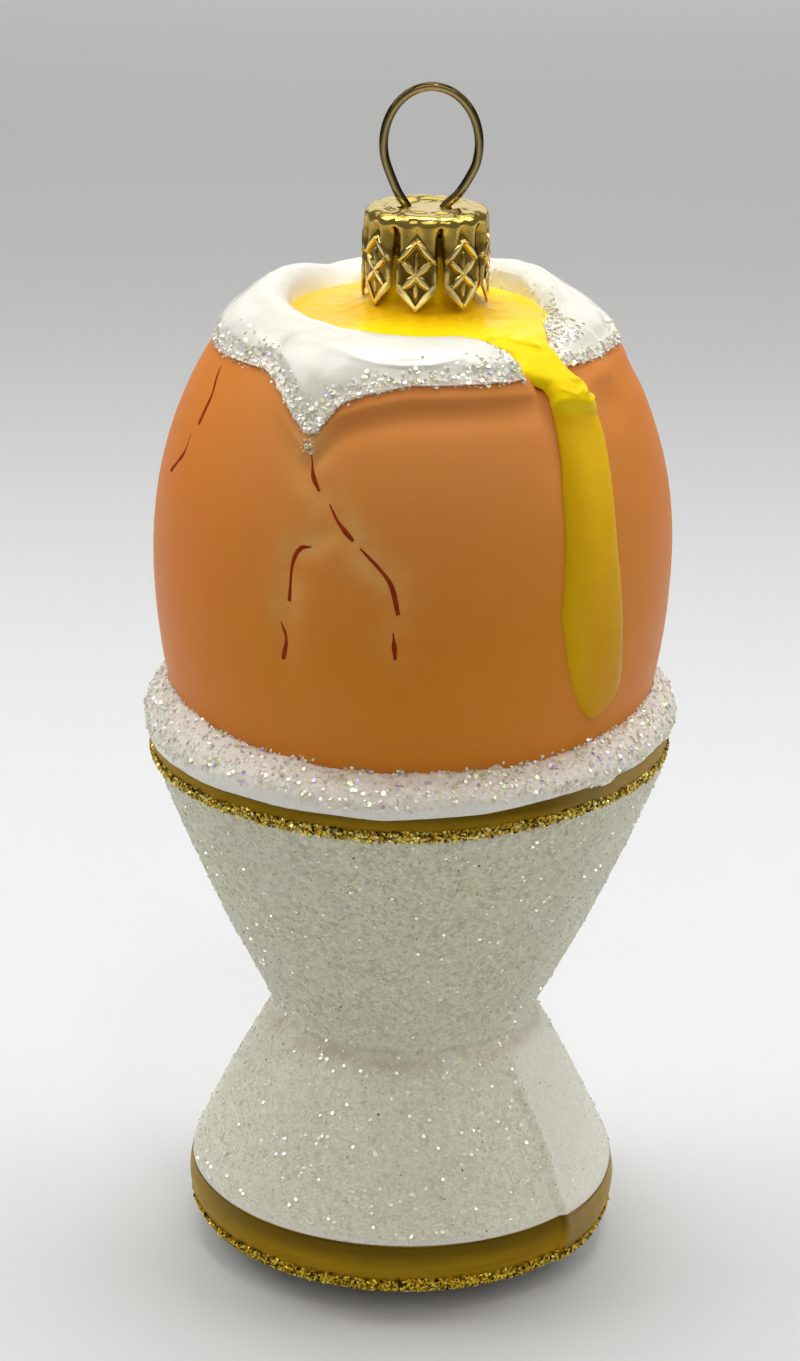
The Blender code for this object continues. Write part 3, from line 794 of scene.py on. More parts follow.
fringe_width = (FRINGE + wider * MM) * (1.0 + 0.4 * grain(low, 2.0 * MM, 41.0))
spilled = in_spill(low_radius, azimuth, 2.0)
solid = ease(0.5 * fringe_width, 1.7 * fringe_width, inwards) * (1.0 - spilled)
film = ease(0.0, 0.35 * MM, inwards)
under = (low_height < 93.0 * MM) & (low_radius < shell_radius(low_height) - 0.02 * MM)
radius = low_radius + (radius - low_radius) * solid
height = low_height + (height - low_height) * solid
outer_wall = (low_radius > shell_radius(low_height) - 0.02 * MM) & (low_radius > 17.0 * MM)
radius -= np.where(outer_wall, SKIN_COAT * (1.0 - film) * 0.8, 0.0)
height -= np.where(under, 0.0, 1.3 * MM * spilled)
radius -= np.where(outer_wall, 1.2 * MM * spilled, 0.0)
points = cartesian(radius, azimuth, height)

# A brush left one low curved ridge on the front wall.
BRUSH_RIDGE = (
    (-40.0, 95.0), (-30.0, 94.55), (-24.0, 94.25), (-17.0, 93.8), (-12.0, 93.55), (-4.0, 93.45),
    (5.0, 93.55), (12.0, 93.95), (18.0, 94.4),
)
ridge_height = np.interp(azimuth, *np.array(BRUSH_RIDGE).T) * MM
ridge = bell(height - ridge_height, 0.16 * MM) * ease(-40.0, -26.0, azimuth) * ease(18.0, 9.0, azimuth)
write_points(white, points)
recalculate_outwards(white)
# The roll is smoothed in steps, most where it is thickest, so that the thin skin keeps its place.
for share in range(1, 6):
    group = white.vertex_groups.new(name=f"solid_{share}")
    group.add(np.flatnonzero(solid > 0.18 * share).tolist(), 1.0, "REPLACE")
    soften = white.modifiers.new("Soften", "SMOOTH")
    soften.vertex_group = group.name
    soften.iterations = 5
apply_modifiers(white)
white.vertex_groups.clear()
points = read_points(white)
uneven = 0.09 * MM * grain(points, 2.8 * MM, 9.0) + 0.04 * MM * grain(points, 1.2 * MM, 19.0)
push_along_normals(white, uneven * (0.3 + 0.7 * solid) + 0.12 * MM * ridge * solid * (radius > 16.0 * MM))
white.data.shade_smooth()
from_pool = radius - POOL_RADIUS
sides = bell(around(azimuth, -92.0), 30.0) + ease(62.0, 90.0, azimuth) * (1.0 - ease(150.0, 176.0, azimuth))
upper = ~under
inner_fringe = bell(from_pool - 0.7 * MM, 0.75 * MM) * np.clip(sides, 0.0, 1.0) * upper
fringe = (1.0 - solid) * film * (1.0 - spilled) * upper
glittery = (1.0 - ease(0.7 * fringe_width, 1.9 * fringe_width, inwards)) * film * (1.0 - spilled) * upper
paint_mask(white, "fringe", fringe)
paint_mask(white, "glue_edge", (1.0 - ease(0.25 * MM, 0.75 * MM, inwards)) * upper)
# Painted shade: the lower front of the white, under the crest, is painted greyer.
skirt = ease(93.2 * MM, 91.2 * MM, height) * ease(-46.0, -32.0, azimuth) * ease(34.0, 18.0, azimuth)
paint_mask(white, "shaded_skirt", skirt * (1.0 - np.clip(fringe, 0.0, 1.0)))
paint_mask(white, "yolk_stain", bell(from_pool, 0.7 * MM) * upper * ease(95.9 * MM, 94.4 * MM, height))
print("white", len(points), "points")

# %% [markdown]
# ## The yolk
#
# The yolk fills the pool, climbs the glass neck a little, spills over the front right and runs down the
# shell in one drip. The pool is turned and the run is a grid wrapped on the egg. A voxel remesh melts the
# two into one skin, which no bridge between such different meshes does as softly. Folds and creases are
# raised afterwards.

# %% Turn the pool
NECK_RADIUS = 4.6 * MM
pool_corners = [
    (0.0, 92.4 * MM), (10.0 * MM, 92.4 * MM), (12.4 * MM, 92.9 * MM), (12.8 * MM, 93.7 * MM),
    (12.4 * MM, 94.25 * MM), (11.0 * MM, 94.45 * MM), (8.5 * MM, 94.55 * MM), (6.8 * MM, 94.8 * MM),
    (5.5 * MM, 95.3 * MM), (NECK_RADIUS, 96.4 * MM), (NECK_RADIUS, 98.0 * MM), (NECK_RADIUS, 100.2 * MM),
    (0.0, 100.2 * MM),
]
pool = turn_outline("pool", pool_corners, 160)
points, radius, azimuth, height = read_polar(pool)
points[:, 0] += CAP_AXIS * bell(radius, 9.0 * MM) * ease(93.5 * MM, 95.5 * MM, height)
write_points(pool, points)

# %% Lay the run over the shoulder
# Each station: distance along the run, radius, height, left and right azimuth, thickness, in mm and degrees.
RUN_STATIONS = (
    (0.0, 9.5, 93.9, 18.0, 90.0, 0.2),
    (2.5, 12.0, 93.9, 22.0, 74.0, 0.5),
    (4.6, 14.0, 93.65, 28.0, 59.0, 0.7),
    (6.3, 15.7, 93.2, 32.6, 50.8, 0.75),
    (7.9, 17.0, 92.6, 31.7, 49.3, 0.8),
    (9.6, 18.3, 91.8, 30.0, 48.0, 0.9),
    (10.4, 18.8, 91.3, 32.3, 48.2, 1.05),
    (11.3, 19.3, 90.7, 36.2, 48.8, 1.25),
    (12.3, 19.8, 90.0, 36.7, 49.4, 1.5),
    (13.4, 20.3, 89.2, 36.6, 50.0, 1.8),
    (14.2, 20.7, 88.6, 36.4, 50.8, 1.8),
    (14.8, 20.95, 88.1, 36.3, 51.4, 1.5),
    (15.9, 21.42, 87.2, 36.2, 52.2, 0.8),
    (18.6, 22.5, 84.6, 35.6, 51.3, 0.62),
    (21.6, 23.4, 81.8, 34.5, 50.4, 0.55),
    (24.8, 24.1, 78.6, 34.0, 49.6, 0.5),
    (28.1, 24.66, 75.4, 33.5, 49.5, 0.5),
    (32.7, 25.05, 70.8, 32.5, 50.9, 0.55),
    (37.5, 24.85, 66.0, 34.9, 52.3, 0.6),
    (40.2, 24.6, 63.3, 37.2, 53.2, 0.6),
    (41.8, 24.4, 61.7, 39.2, 52.6, 0.55),
    (43.0, 24.3, 60.5, 41.2, 50.2, 0.45),
    (43.9, 24.2, 59.7, 43.4, 46.6, 0.3),
)
THIN_COAT = 0.46


def sheet_end(top, azimuth):
    """Height in millimetres at which the thick sheet ends, lower towards the right."""
    return top - (azimuth - 37.0) * 0.075


deselect_everything()
bpy.ops.mesh.primitive_grid_add(x_subdivisions=44, y_subdivisions=260, size=1.0)
run = name_active("run")
flat = read_points(run)
across = 2.0 * flat[:, 0]
stations = np.array(RUN_STATIONS)
along = (0.5 - flat[:, 1]) * stations[-1, 0]
run_radius, run_height, left, right, thick = (
    np.interp(along, stations[:, 0], column) for column in stations[:, 1:].T
)
down_shell = ease(10.0, 12.5, along)
run_radius = run_radius + (shell_radius(run_height * MM) / MM - run_radius) * down_shell
turn = 0.5 * (left + right) + 0.5 * (right - left) * across
sheet = ease(-0.12, 0.28, run_height - sheet_end(88.9, turn))
sheet = np.maximum(sheet, ease(18.0, 12.0, along) * 0.25)
thick = np.where(along > 11.0, THIN_COAT + (thick - THIN_COAT) * sheet, thick)
blunt = 5.0 - 2.4 * ease(10.0, 12.0, along) * ease(17.0, 15.0, along)
body = np.sqrt(np.clip(1.0 - np.abs(across) ** blunt, 0.0, 1.0))
outward = np.stack([0.35 + 0.6 * down_shell, 0.95 - 0.7 * ease(14.0, 16.2, along)], axis=-1)
outward /= np.linalg.norm(outward, axis=1)[:, None]
lift = (thick * body - 0.05) * MM
run_points = cartesian(run_radius * MM + outward[:, 0] * lift, turn, run_height * MM + outward[:, 1] * lift)
write_points(run, run_points)
recalculate_outwards(run)
middle_face = run.data.polygons[len(run.data.polygons) // 2]
if middle_face.normal.dot(middle_face.center) < 0.0:
    run.data.flip_normals()
backing = run.modifiers.new("Backing", "SOLIDIFY")
backing.thickness = 0.75 * MM
apply_modifiers(run)

# %% Melt pool and run together
yolk = join_pieces("yolk_run", [pool, run])
melt = yolk.modifiers.new("Melt", "REMESH")
melt.mode = "VOXEL"
melt.voxel_size = 0.165 * MM
soften = yolk.modifiers.new("Soften", "SMOOTH")
soften.iterations = 4
apply_modifiers(yolk)
yolk.data.shade_smooth()
print("yolk", len(yolk.data.vertices), "points")

# %% Fold and crease the yolk
# Each crease as its corners, its rise and its width. Corners are (azimuth, radius) on the pool and (azimuth,
# height) on the knee.
POOL_CREASES = (
    (((29.0, 13.3), (33.0, 13.5), (36.8, 13.9), (36.8, 14.6), (39.5, 15.3), (42.6, 16.2)), 0.30, 0.30),
    (((-9.0, 9.2), (-1.0, 8.7), (7.0, 9.3), (14.0, 8.6), (22.0, 9.0), (27.0, 8.4)), 0.09, 0.16),
    (((18.0, 10.6), (27.0, 10.2), (36.0, 10.9), (47.0, 10.4)), 0.08, 0.16),
    (((33.0, 12.4), (37.0, 12.9), (42.0, 12.7)), 0.14, 0.18),
)
KNEE_CREASES = (
    (((44.0, 91.5), (47.5, 91.25), (51.0, 90.6)), 0.16, 0.2),
    (((45.5, 90.4), (48.5, 90.9), (52.0, 90.1), (50.0, 89.6)), 0.22, 0.2),
    (((46.0, 89.5), (49.0, 89.9), (53.3, 89.2)), 0.2, 0.2),
    (((39.5, 90.9), (42.5, 90.4), (45.0, 90.7)), 0.12, 0.2),
)
points, radius, azimuth, height = read_polar(yolk)
creased = np.zeros(len(points))
for corners, rise, width in POOL_CREASES:
    marks = np.array(corners)
    line = cartesian(marks[:, 1] * MM, marks[:, 0], 0.0)[:, :2]
    creased += rise * MM * bell(distance_to_line(points[:, :2], line), width * MM) * (height > 93.0 * MM)
for corners, rise, width in KNEE_CREASES:
    marks = np.array(corners) * np.array([1.0, MM])
    off = distance_to_line(on_shell(azimuth, height), on_shell(*marks.T))
    creased += rise * MM * bell(off, width * MM) * (height > 88.0 * MM) * (height < 92.2 * MM)
lumps = 0.07 * MM * grain(points, 2.6 * MM, 4.0) + 0.03 * MM * grain(points, 1.0 * MM, 14.0)
from_neck = np.hypot(points[:, 0] - CAP_AXIS, points[:, 1])
at_neck = bell(from_neck - 6.9 * MM, 1.3 * MM) * ease(93.8 * MM, 94.2 * MM, height)
lumps += at_neck * 0.2 * MM * np.maximum(0.0, grain(points, 1.1 * MM, 21.0) + 0.15)
push_along_normals(yolk, lumps * (0.3 + 0.7 * ease(92.0 * MM, 94.0 * MM, height)) + creased)
edge_height = sheet_end(89.4, azimuth) * MM + 0.35 * MM * grain(points, 1.3 * MM, 31.0)
paint_mask(yolk, "thin_coat", 1.0 - ease(-1.1 * MM, 0.3 * MM, height - edge_height))
paint_mask(yolk, "drip_low", 1.0 - ease(62.0 * MM, 88.0 * MM, height))
paint_mask(yolk, "drip_left", ease(44.0, 36.0, azimuth) * (height < 90.0 * MM))
paint_mask(yolk, "shaded", bell(from_neck - 5.5 * MM, 2.9 * MM) * (height < 96.0 * MM))

# %% [markdown]
# ## The paste bead
#
# Where cup and egg meet, the maker laid a thick bead of white paste and pressed glitter into it while it
# was wet. A torus would be too regular, so it is a ring of sections as the white is: tight against the
# shell, a rounded smooth lip below, higher on the right, where the paste ran short and ended in a small
# ragged drip.

# %% Shape the bead
LIP_MARKS = (
    (-180.0, 52.5), (-140.0, 52.3), (-100.0, 52.4), (-60.0, 52.4), (-45.0, 52.45), (-30.0, 52.5),
    (-6.0, 52.4), (5.0, 52.6), (16.0, 52.9), (24.0, 53.15), (36.0, 53.6), (42.0, 53.6), (45.5, 53.15),
    (47.0, 53.2), (48.5, 53.7), (55.0, 53.8), (70.0, 54.1), (95.0, 53.8), (120.0, 53.2), (150.0, 52.7),
    (180.0, 52.5),
)


def paste_top(turn):
    """Height at which the paste meets the shell, by azimuth in radians."""
    uneven = 0.08 * np.sin(9.0 * turn) + 0.05 * np.sin(23.0 * turn)
    return (56.1 + 2.0 * np.abs(np.sin(turn)) ** 3 + uneven) * MM


def bead_section(azimuth):
    """Closed cross-section of the paste at one azimuth."""
    turn = math.radians(azimuth)
    top = float(paste_top(turn))
    lip = float(marked(azimuth, LIP_MARKS)) + 0.05 * MM * math.sin(17.0 * turn)
    tall = top - lip
    contact = float(shell_radius(top))
    outer = 25.98 * MM - 0.06 * MM * (1.0 + math.sin(3.0 * turn + 0.5))
    wide = outer - contact
    return rounded_loop(
        [
            (contact - 0.6 * MM, top - 0.3 * MM), (contact + 0.02 * MM, top + 0.05 * MM),
            (contact + 0.42 * wide, lip + 0.86 * tall), (contact + 0.78 * wide, lip + 0.66 * tall),
            (outer, lip + 0.42 * tall), (outer + 0.03 * MM, lip + 0.24 * tall),
            (outer - 0.12 * MM, lip + 0.09 * tall), (25.62 * MM, lip), (25.15 * MM, lip + 0.1 * MM),
            (24.2 * MM, lip + 0.6 * MM), (22.9 * MM, lip + 1.6 * MM),
        ],
        5,
    )


bead, _, radius, azimuth, height = ring_of_sections("rim_paste", bead_section, 480)
write_points(bead, cartesian(radius, azimuth, height))
recalculate_outwards(bead)
paste = read_points(bead)
lip_width = 0.85 + 0.35 * bell(around(azimuth, -40.0), 30.0) + 0.22 * np.sin(np.radians(azimuth * 7.0))
lip_width -= ease(18.0, 48.0, azimuth) * ease(150.0, 110.0, azimuth)
smooth_lip = marked(azimuth, LIP_MARKS) + lip_width * MM
glittered = ease(-0.25 * MM, 0.35 * MM, height - smooth_lip)
dabs = 0.10 * MM * grain(paste, 1.4 * MM, 6.0) + 0.09 * MM * grain(paste, 0.55 * MM, 16.0)
push_along_normals(bead, dabs * (0.25 + 0.75 * glittered))
paste = read_points(bead)
paste[:, :2] *= np.minimum(1.0, BEAD_RADIUS / np.hypot(paste[:, 0], paste[:, 1]))[:, None]
write_points(bead, paste)
bead.data.shade_smooth()
paint_mask(bead, "glittered", glittered)
print("bead", len(paste), "points")

# %% [markdown]
# ## The metal cap
#
# The cap is pressed from thin brass-coloured sheet: a crimped crown, then petals that were cut apart,
# each fluted at the top and stamped with a diamond round a four-leaved star. One petal is modelled flat
# as a grid, stamped, and bent round the neck. Then it is copied, which is also how the press tool repeats
# it.

# %% Stamp one petal
PETALS = 8
HALF_PETAL = 180.0 / PETALS
FIRST_PETAL = -9.0
CROWN_RADIUS = 5.88 * MM
CROWN_FILLET = 1.0 * MM
SLIT_TOP = CAP_TOP - 0.9 * MM
PETAL_SHOULDER = CAP_TIP + 2.1 * MM
STAR_HEIGHT = CAP_TIP + 3.5 * MM
STAMP_DEPTH = 0.26 * MM
FLUTE_DEPTH = 0.7 * MM
SHEET = 0.24 * MM
DISC_SHARE = 0.25
ROUND_SHARE = 0.34


def bar(x, z, x0, z0, x1, z1, width):
    """Height from 0 to 1 of a rounded leaf between two places on the flat petal, in millimetres."""
    along = np.array([x1 - x0, z1 - z0])
    share = np.clip(((x - x0) * along[0] + (z - z0) * along[1]) / (along @ along), 0.0, 1.0)
    away = np.hypot(x - x0 - share * along[0], z - z0 - share * along[1])
    leaf = width * (0.5 + 0.5 * np.sin(math.pi * np.clip(share, 0.08, 0.92)))
    return np.clip(1.25 * (1.0 - away / leaf), 0.0, 1.0)


def stamp(x, z):
    """Relief of the stamped figure at x, z millimetres from the star's centre, sunk between its bars."""
    figure = np.zeros_like(x)
    for side in (-1.0, 1.0):
        figure = np.maximum(figure, bar(x, z, 1.72 * side, 1.35, 0.16 * side, 3.0, 0.31))
        figure = np.maximum(figure, bar(x, z, 1.66 * side, -1.0, 0.12 * side, -2.95, 0.31))
        for rise in (-1.0, 1.0):
            figure = np.maximum(figure, bar(x, z, 0.12 * side, 0.12 * rise, 1.2 * side, 1.12 * rise, 0.37))
        figure = np.maximum(figure, 0.55 * bar(x, z, 0.0, 0.4 * side, 0.0, 2.0 * side, 0.22))
        figure = np.maximum(figure, 0.5 * bar(x, z, 1.78 * side, 1.1, 1.78 * side, -0.8, 0.16))
    inside = ease(1.0, 0.72, np.abs(x) / 1.8 + np.maximum(0.0, np.abs(z) - 1.2) / 2.0)
    return figure - 0.55 * inside * (1.0 - np.clip(figure * 1.5, 0.0, 1.0))


deselect_everything()
bpy.ops.mesh.primitive_grid_add(x_subdivisions=52, y_subdivisions=190, size=1.0)
petal = name_active("petal")
flat = read_points(petal)
across = 2.0 * flat[:, 0]
down = 0.5 - flat[:, 1]
on_wall = down >= ROUND_SHARE
on_disc = down < DISC_SHARE
bottom = PETAL_SHOULDER + (CAP_TIP + 0.02 * MM - PETAL_SHOULDER) * (1.0 - np.abs(across))
wall = np.clip((down - ROUND_SHARE) / (1.0 - ROUND_SHARE), 0.0, 1.0)
crown_turn = np.clip((down - DISC_SHARE) / (ROUND_SHARE - DISC_SHARE), 0.0, 1.0) * (math.pi / 2.0)
roof = CAP_TOP - 0.03 * MM
flat_reach = CROWN_RADIUS - CROWN_FILLET
rounded = flat_reach + CROWN_FILLET * np.sin(crown_turn)
petal_radius = np.where(on_disc, flat_reach * down / DISC_SHARE, rounded)
petal_height = np.where(
    on_wall,
    roof - CROWN_FILLET + (bottom - roof + CROWN_FILLET) * wall,
    roof - CROWN_FILLET + CROWN_FILLET * np.cos(crown_turn),
)
drop = np.clip((CAP_TOP - petal_height) / (CAP_TOP - CAP_TIP), 0.0, 1.0)
slit = 1.2 * ease(SLIT_TOP, SLIT_TOP - 0.4 * MM, petal_height) + 2.6 * drop
angle = (HALF_PETAL - slit * on_wall) * across
flute = np.clip(1.0 - np.abs(2.0 * np.abs(across) - 1.0) ** 2.0, 0.0, 1.0)
inside_figure = ease(1.25, 0.85, np.abs(across) + np.maximum(0.0, petal_height - STAR_HEIGHT) / (3.4 * MM))
fluted = ease(98.6 * MM, 101.6 * MM, petal_height) * (1.0 - inside_figure)
on_crown = ease(ROUND_SHARE - 0.06, ROUND_SHARE + 0.12, down)
petal_radius = petal_radius + 0.3 * MM * drop**1.5 * on_wall
petal_radius -= FLUTE_DEPTH * (0.12 + 0.88 * fluted) * (1.0 - flute) * on_crown
figure = stamp(petal_radius * np.radians(angle) / MM, (petal_height - STAR_HEIGHT) / MM) * on_wall
petal_radius += STAMP_DEPTH * figure
petal_radius -= 0.12 * MM * ease(0.86, 1.0, np.abs(across)) * on_wall * ease(0.15, 0.4, drop)
petal_radius = np.minimum(petal_radius, cap_high.x - CAP_AXIS - 0.01 * MM)
ring = bell(petal_radius - 3.6 * MM, 0.45 * MM) * on_disc
dish = ease(2.4 * MM, 3.4 * MM, petal_radius) * on_disc
crimp = 0.05 * MM * (1.0 - flute) * ease(0.15, DISC_SHARE, down) * ~on_wall
petal_height = petal_height + 0.16 * MM * ring - crimp - 0.12 * MM * (1.0 - dish) * on_disc
write_points(petal, cartesian(petal_radius, angle, petal_height))
# Painted light: a highlight on the raised figure, shade in the sunk parts and flute valleys, a lighter crown.
paint_mask(petal, "stamped", np.clip(figure, 0.0, 1.0))
paint_mask(petal, "sunk", np.clip(-1.6 * figure, 0.0, 1.0) + 0.7 * (1.0 - flute) * fluted * on_wall)
paint_mask(petal, "crown", 1.0 - ease(ROUND_SHARE - 0.02, ROUND_SHARE + 0.02, down))
print("petal", len(flat), "points")

# %% Bend the petals into a cap
petals = []
for k in range(PETALS):
    select_only(petal)
    bpy.ops.object.duplicate()
    copy = name_active(f"petal_{k}")
    _, radius, azimuth, height = read_polar(copy)
    flare = 1.0 + 0.02 * math.sin(2.4 * k + 0.7) * ease(101.0 * MM, 96.0 * MM, height)
    swing = FIRST_PETAL + 2.0 * HALF_PETAL * k + 0.8 * math.sin(3.1 * k) * ease(101.0 * MM, 97.0 * MM, height)
    points = cartesian(np.minimum(radius * flare, cap_high.x - CAP_AXIS), azimuth + swing, height)
    points[:, 0] += CAP_AXIS
    write_points(copy, points)
    petals.append(copy)
bpy.data.objects.remove(petal)
cap = join_pieces("metal_cap", petals)
edit_everything()
bpy.ops.mesh.remove_doubles(threshold=0.004 * MM)
bpy.ops.mesh.normals_make_consistent(inside=False)
bpy.ops.object.mode_set(mode="OBJECT")
faces_up = sum(1 if f.normal.z > 0.5 else -1 if f.normal.z < -0.5 else 0 for f in cap.data.polygons)
if faces_up < 0:
    cap.data.flip_normals()
points = read_points(cap)
dented = ease(102.6 * MM, 103.6 * MM, points[:, 2])
dents = np.minimum(0.0, grain(points, 1.5 * MM, 27.0) + 0.3 * grain(points, 0.6 * MM, 7.0))
points[:, 2] += 0.20 * MM * dented * dents
write_points(cap, points)
sheet_metal = cap.modifiers.new("Sheet", "SOLIDIFY")
sheet_metal.thickness = SHEET
apply_modifiers(cap)
cap.data.shade_smooth()
print("cap", len(cap.data.polygons), "faces")

# %% [markdown]
# ## The wire eye
#
# A hard brass wire is bent into an eye whose legs go through the cap and grip the neck from inside. A
# curve with a round bevel is how one bends a wire in Blender. It is converted to a mesh once its route is
# right.

# %% Bend the wire
WIRE_RADIUS = 0.43 * MM
EYE_CENTRE = 0.5 * (wire_low.x + wire_high.x)
EYE_RADIUS = 0.5 * (wire_high.x - wire_low.x) - WIRE_RADIUS
EYE_TOP = wire_high.z - LIFT - WIRE_RADIUS
EYE_STRETCH = 1.2
# Each leg's (sideways, down) corners as shares of the eye's radius, measured from the top of the eye.
LEFT_LEG = ((-0.42, 3.1), (-0.42, 2.75), (-0.48, 2.55), (-0.70, 2.2))
RIGHT_LEG = ((0.62, 2.2), (0.32, 2.5), (0.21, 2.72), (0.2, 3.1))
sweep = np.radians(np.linspace(-116.0, 116.0, 17))
eye = [(math.sin(t), EYE_STRETCH * (1.0 - math.cos(t))) for t in sweep]
route = smooth_line(np.array([*LEFT_LEG, *eye, *RIGHT_LEG]) * EYE_RADIUS, 0.25 * MM)
places = [(EYE_CENTRE + side, 0.0, EYE_TOP - down) for side, down in route]
wire = bend_rod("hanging_wire", places, np.ones(len(route)), WIRE_RADIUS)
# Painted highlight along the wire's front and back; elsewhere it is painted near black, as a dark reflection.
paint_mask(wire, "painted_highlight_line", ease(0.88 * WIRE_RADIUS, 0.98 * WIRE_RADIUS, np.abs(read_points(wire)[:, 1])))
print("wire", len(wire.data.polygons), "faces")

# %% [markdown]
# ## Glitter
#
# Iridescent hexagon flakes lie on the bead and in the clear glue round the white, fine gold flakes in a
# line beside each band, and clear dust, bright sparkles and a few dark specks on the frosting. A particle
# system would be lost on export, so one flake is modelled, copied as real mesh, and every copy gets its
# own size, tilt and colour.

# %% Scatter flakes
def flake_template(sides):
    """A flat-topped flake whose underside comes to a point, so that it closes with few faces."""
    deselect_everything()
    bpy.ops.mesh.primitive_cone_add(vertices=sides, radius1=1.0, radius2=0.0, depth=0.5, end_fill_type="NGON")
    template = name_active("flake")
    edit_everything()
    bpy.ops.transform.mirror(constraint_axis=(False, False, True))
    bpy.ops.mesh.normals_make_consistent(inside=False)
    bpy.ops.object.mode_set(mode="OBJECT")
    corners = read_points(template)
    faces = [list(p.vertices) for p in template.data.polygons]
    bpy.data.objects.remove(template)
    return corners, faces


def places_on(piece, weights, count, rng):
    """Random places on a piece: faces are drawn by area times weight. It gives points and normals."""
    mesh = piece.data
    mesh.calc_loop_triangles()
    tris = np.empty(len(mesh.loop_triangles) * 3, np.int32)
    mesh.loop_triangles.foreach_get("vertices", tris)
    tris = tris.reshape(-1, 3)
    points = read_points(piece)
    a, b, c = (points[tris[:, k]] for k in range(3))
    cross = np.cross(b - a, c - a)
    chance = np.linalg.norm(cross, axis=1) * weights[tris].mean(axis=1)
    chosen = rng.choice(len(tris), size=count, p=chance / chance.sum())
    u, v = rng.random(count), rng.random(count)
    over = u + v > 1.0
    u[over], v[over] = 1.0 - u[over], 1.0 - v[over]
    spots = a[chosen] + u[:, None] * (b - a)[chosen] + v[:, None] * (c - a)[chosen]
    return spots, cross[chosen] / np.linalg.norm(cross[chosen], axis=1)[:, None]


def scatter(name, spots, normals, sizes, tilt, palette, rng, sides=6, sink=0.0):
    """One flake at each spot, leaning from its normal by about tilt, in colours drawn by their shares."""
    corners, faces = flake_template(sides)
    count = len(spots)
    lean = normals + tilt * rng.normal(size=(count, 3))
    lean /= np.linalg.norm(lean, axis=1)[:, None]
    side = np.cross(lean, rng.normal(size=(count, 3)))
    side /= np.linalg.norm(side, axis=1)[:, None]
    basis = np.stack([side, np.cross(lean, side), lean], axis=1)
    scale = rng.uniform(*sizes, count) * MM
    shape = np.einsum("kc,ncd->nkd", corners, basis) * scale[:, None, None]
    raised = spots + normals * (rng.uniform(-0.02, 0.05, count) * MM - sink)[:, None]
    verts = shape + raised[:, None, :]
    stride = len(corners)
    mesh = bpy.data.meshes.new(name)
    all_faces = [[v + stride * n for v in face] for n in range(count) for face in faces]
    mesh.from_pydata(verts.reshape(-1, 3).tolist(), [], all_faces)
    shares = np.array([share for share, _ in palette])
    colours = np.array([colour for _, colour in palette])
    colours = colours[rng.choice(len(palette), size=count, p=shares / shares.sum())]
    rgba = np.ones((count, stride, 4), np.float32)
    rgba[:, :, :3] = np.clip(colours * (1.0 + 0.08 * rng.normal(size=(count, 1))), 0.0, 1.0)[:, None, :]
    layer = mesh.color_attributes.new("flake_colour", "FLOAT_COLOR", "POINT")
    layer.data.foreach_set("color", rgba.ravel())
    piece = bpy.data.objects.new(name, mesh)
    bpy.context.scene.collection.objects.link(piece)
    print(name, count, "flakes")
    return piece


IRIDESCENT = (
    (0.52, (1.0, 0.98, 0.91)), (0.26, (1.0, 0.86, 0.82)), (0.10, (0.88, 1.0, 0.76)),
    (0.05, (1.0, 1.0, 0.66)), (0.07, (0.66, 0.52, 0.58)),
)
GLINTS = (
    (0.36, (1.0, 1.0, 0.62)), (0.26, (0.86, 1.0, 0.66)), (0.22, (1.0, 0.97, 0.90)),
    (0.10, (1.0, 0.74, 0.80)), (0.06, (0.62, 0.56, 0.90)),
)
GLINT_SHARE = 0.26
BEAD_FLAKES = 6000
WHITE_FLAKES = 3100
STRAY_FLAKES = 420
BLOB_FLAKES = 40
DRIP_TIP = -25.6


def laid_glitter(name, spots, normals, rng):
    """Pale flakes at most of the spots, and mirror-bright ones at the rest."""
    bright = rng.random(len(spots)) < GLINT_SHARE
    pale = scatter(f"{name}_glitter", spots[~bright], normals[~bright], (0.12, 0.21), 0.4, IRIDESCENT, rng)
    # Glints lean upwards, where the lights are.
    upwards = normals[bright] + np.array([0.0, 0.0, 0.35])
    upwards /= np.linalg.norm(upwards, axis=1)[:, None]
    glints = scatter(
        f"{name}_glints", spots[bright], upwards, (0.16, 0.26), 0.34, GLINTS, rng, sink=-0.02 * MM,
    )
    return pale, glints


rng = np.random.default_rng(20)

# %% Glitter on the bead
spots, normals = places_on(bead, np.clip(glittered, 0.0, 1.0) ** 2, BEAD_FLAKES, rng)
seen = (normals[:, 2] > -0.5) & (np.hypot(spots[:, 0], spots[:, 1]) > shell_radius(spots[:, 2]) - 0.02 * MM)
# A few flakes strayed onto the shell just above the paste.
stray = rng.uniform(-180.0, 180.0, STRAY_FLAKES)
stray_height = paste_top(np.radians(stray)) + np.abs(rng.normal(0.0, 0.2, STRAY_FLAKES)) * MM
spots = np.vstack([spots[seen], on_shell(stray, stray_height)])
normals = np.vstack([normals[seen], cartesian(1.0, stray, 0.3)])
bead_glitter, bead_glints = laid_glitter("bead", spots, normals, rng)

# %% Glitter on the white
# Flakes crowd at the drip's tip, at the roll's blunt right end and in the lobe beside the yolk.
azimuth = polar(read_points(white))[1]
crowded = 0.55 + 0.9 * bell(around(azimuth, -27.0), 7.0) + 0.5 * bell(around(azimuth, 26.0), 9.0)
crowded += 0.6 * bell(around(azimuth, 60.0), 14.0)
weights = glittery * crowded + 0.22 * inner_fringe * bell(around(azimuth, 82.0), 38.0)
spots, normals = places_on(white, weights, WHITE_FLAKES, rng)
seen = normals[:, 2] > -0.3
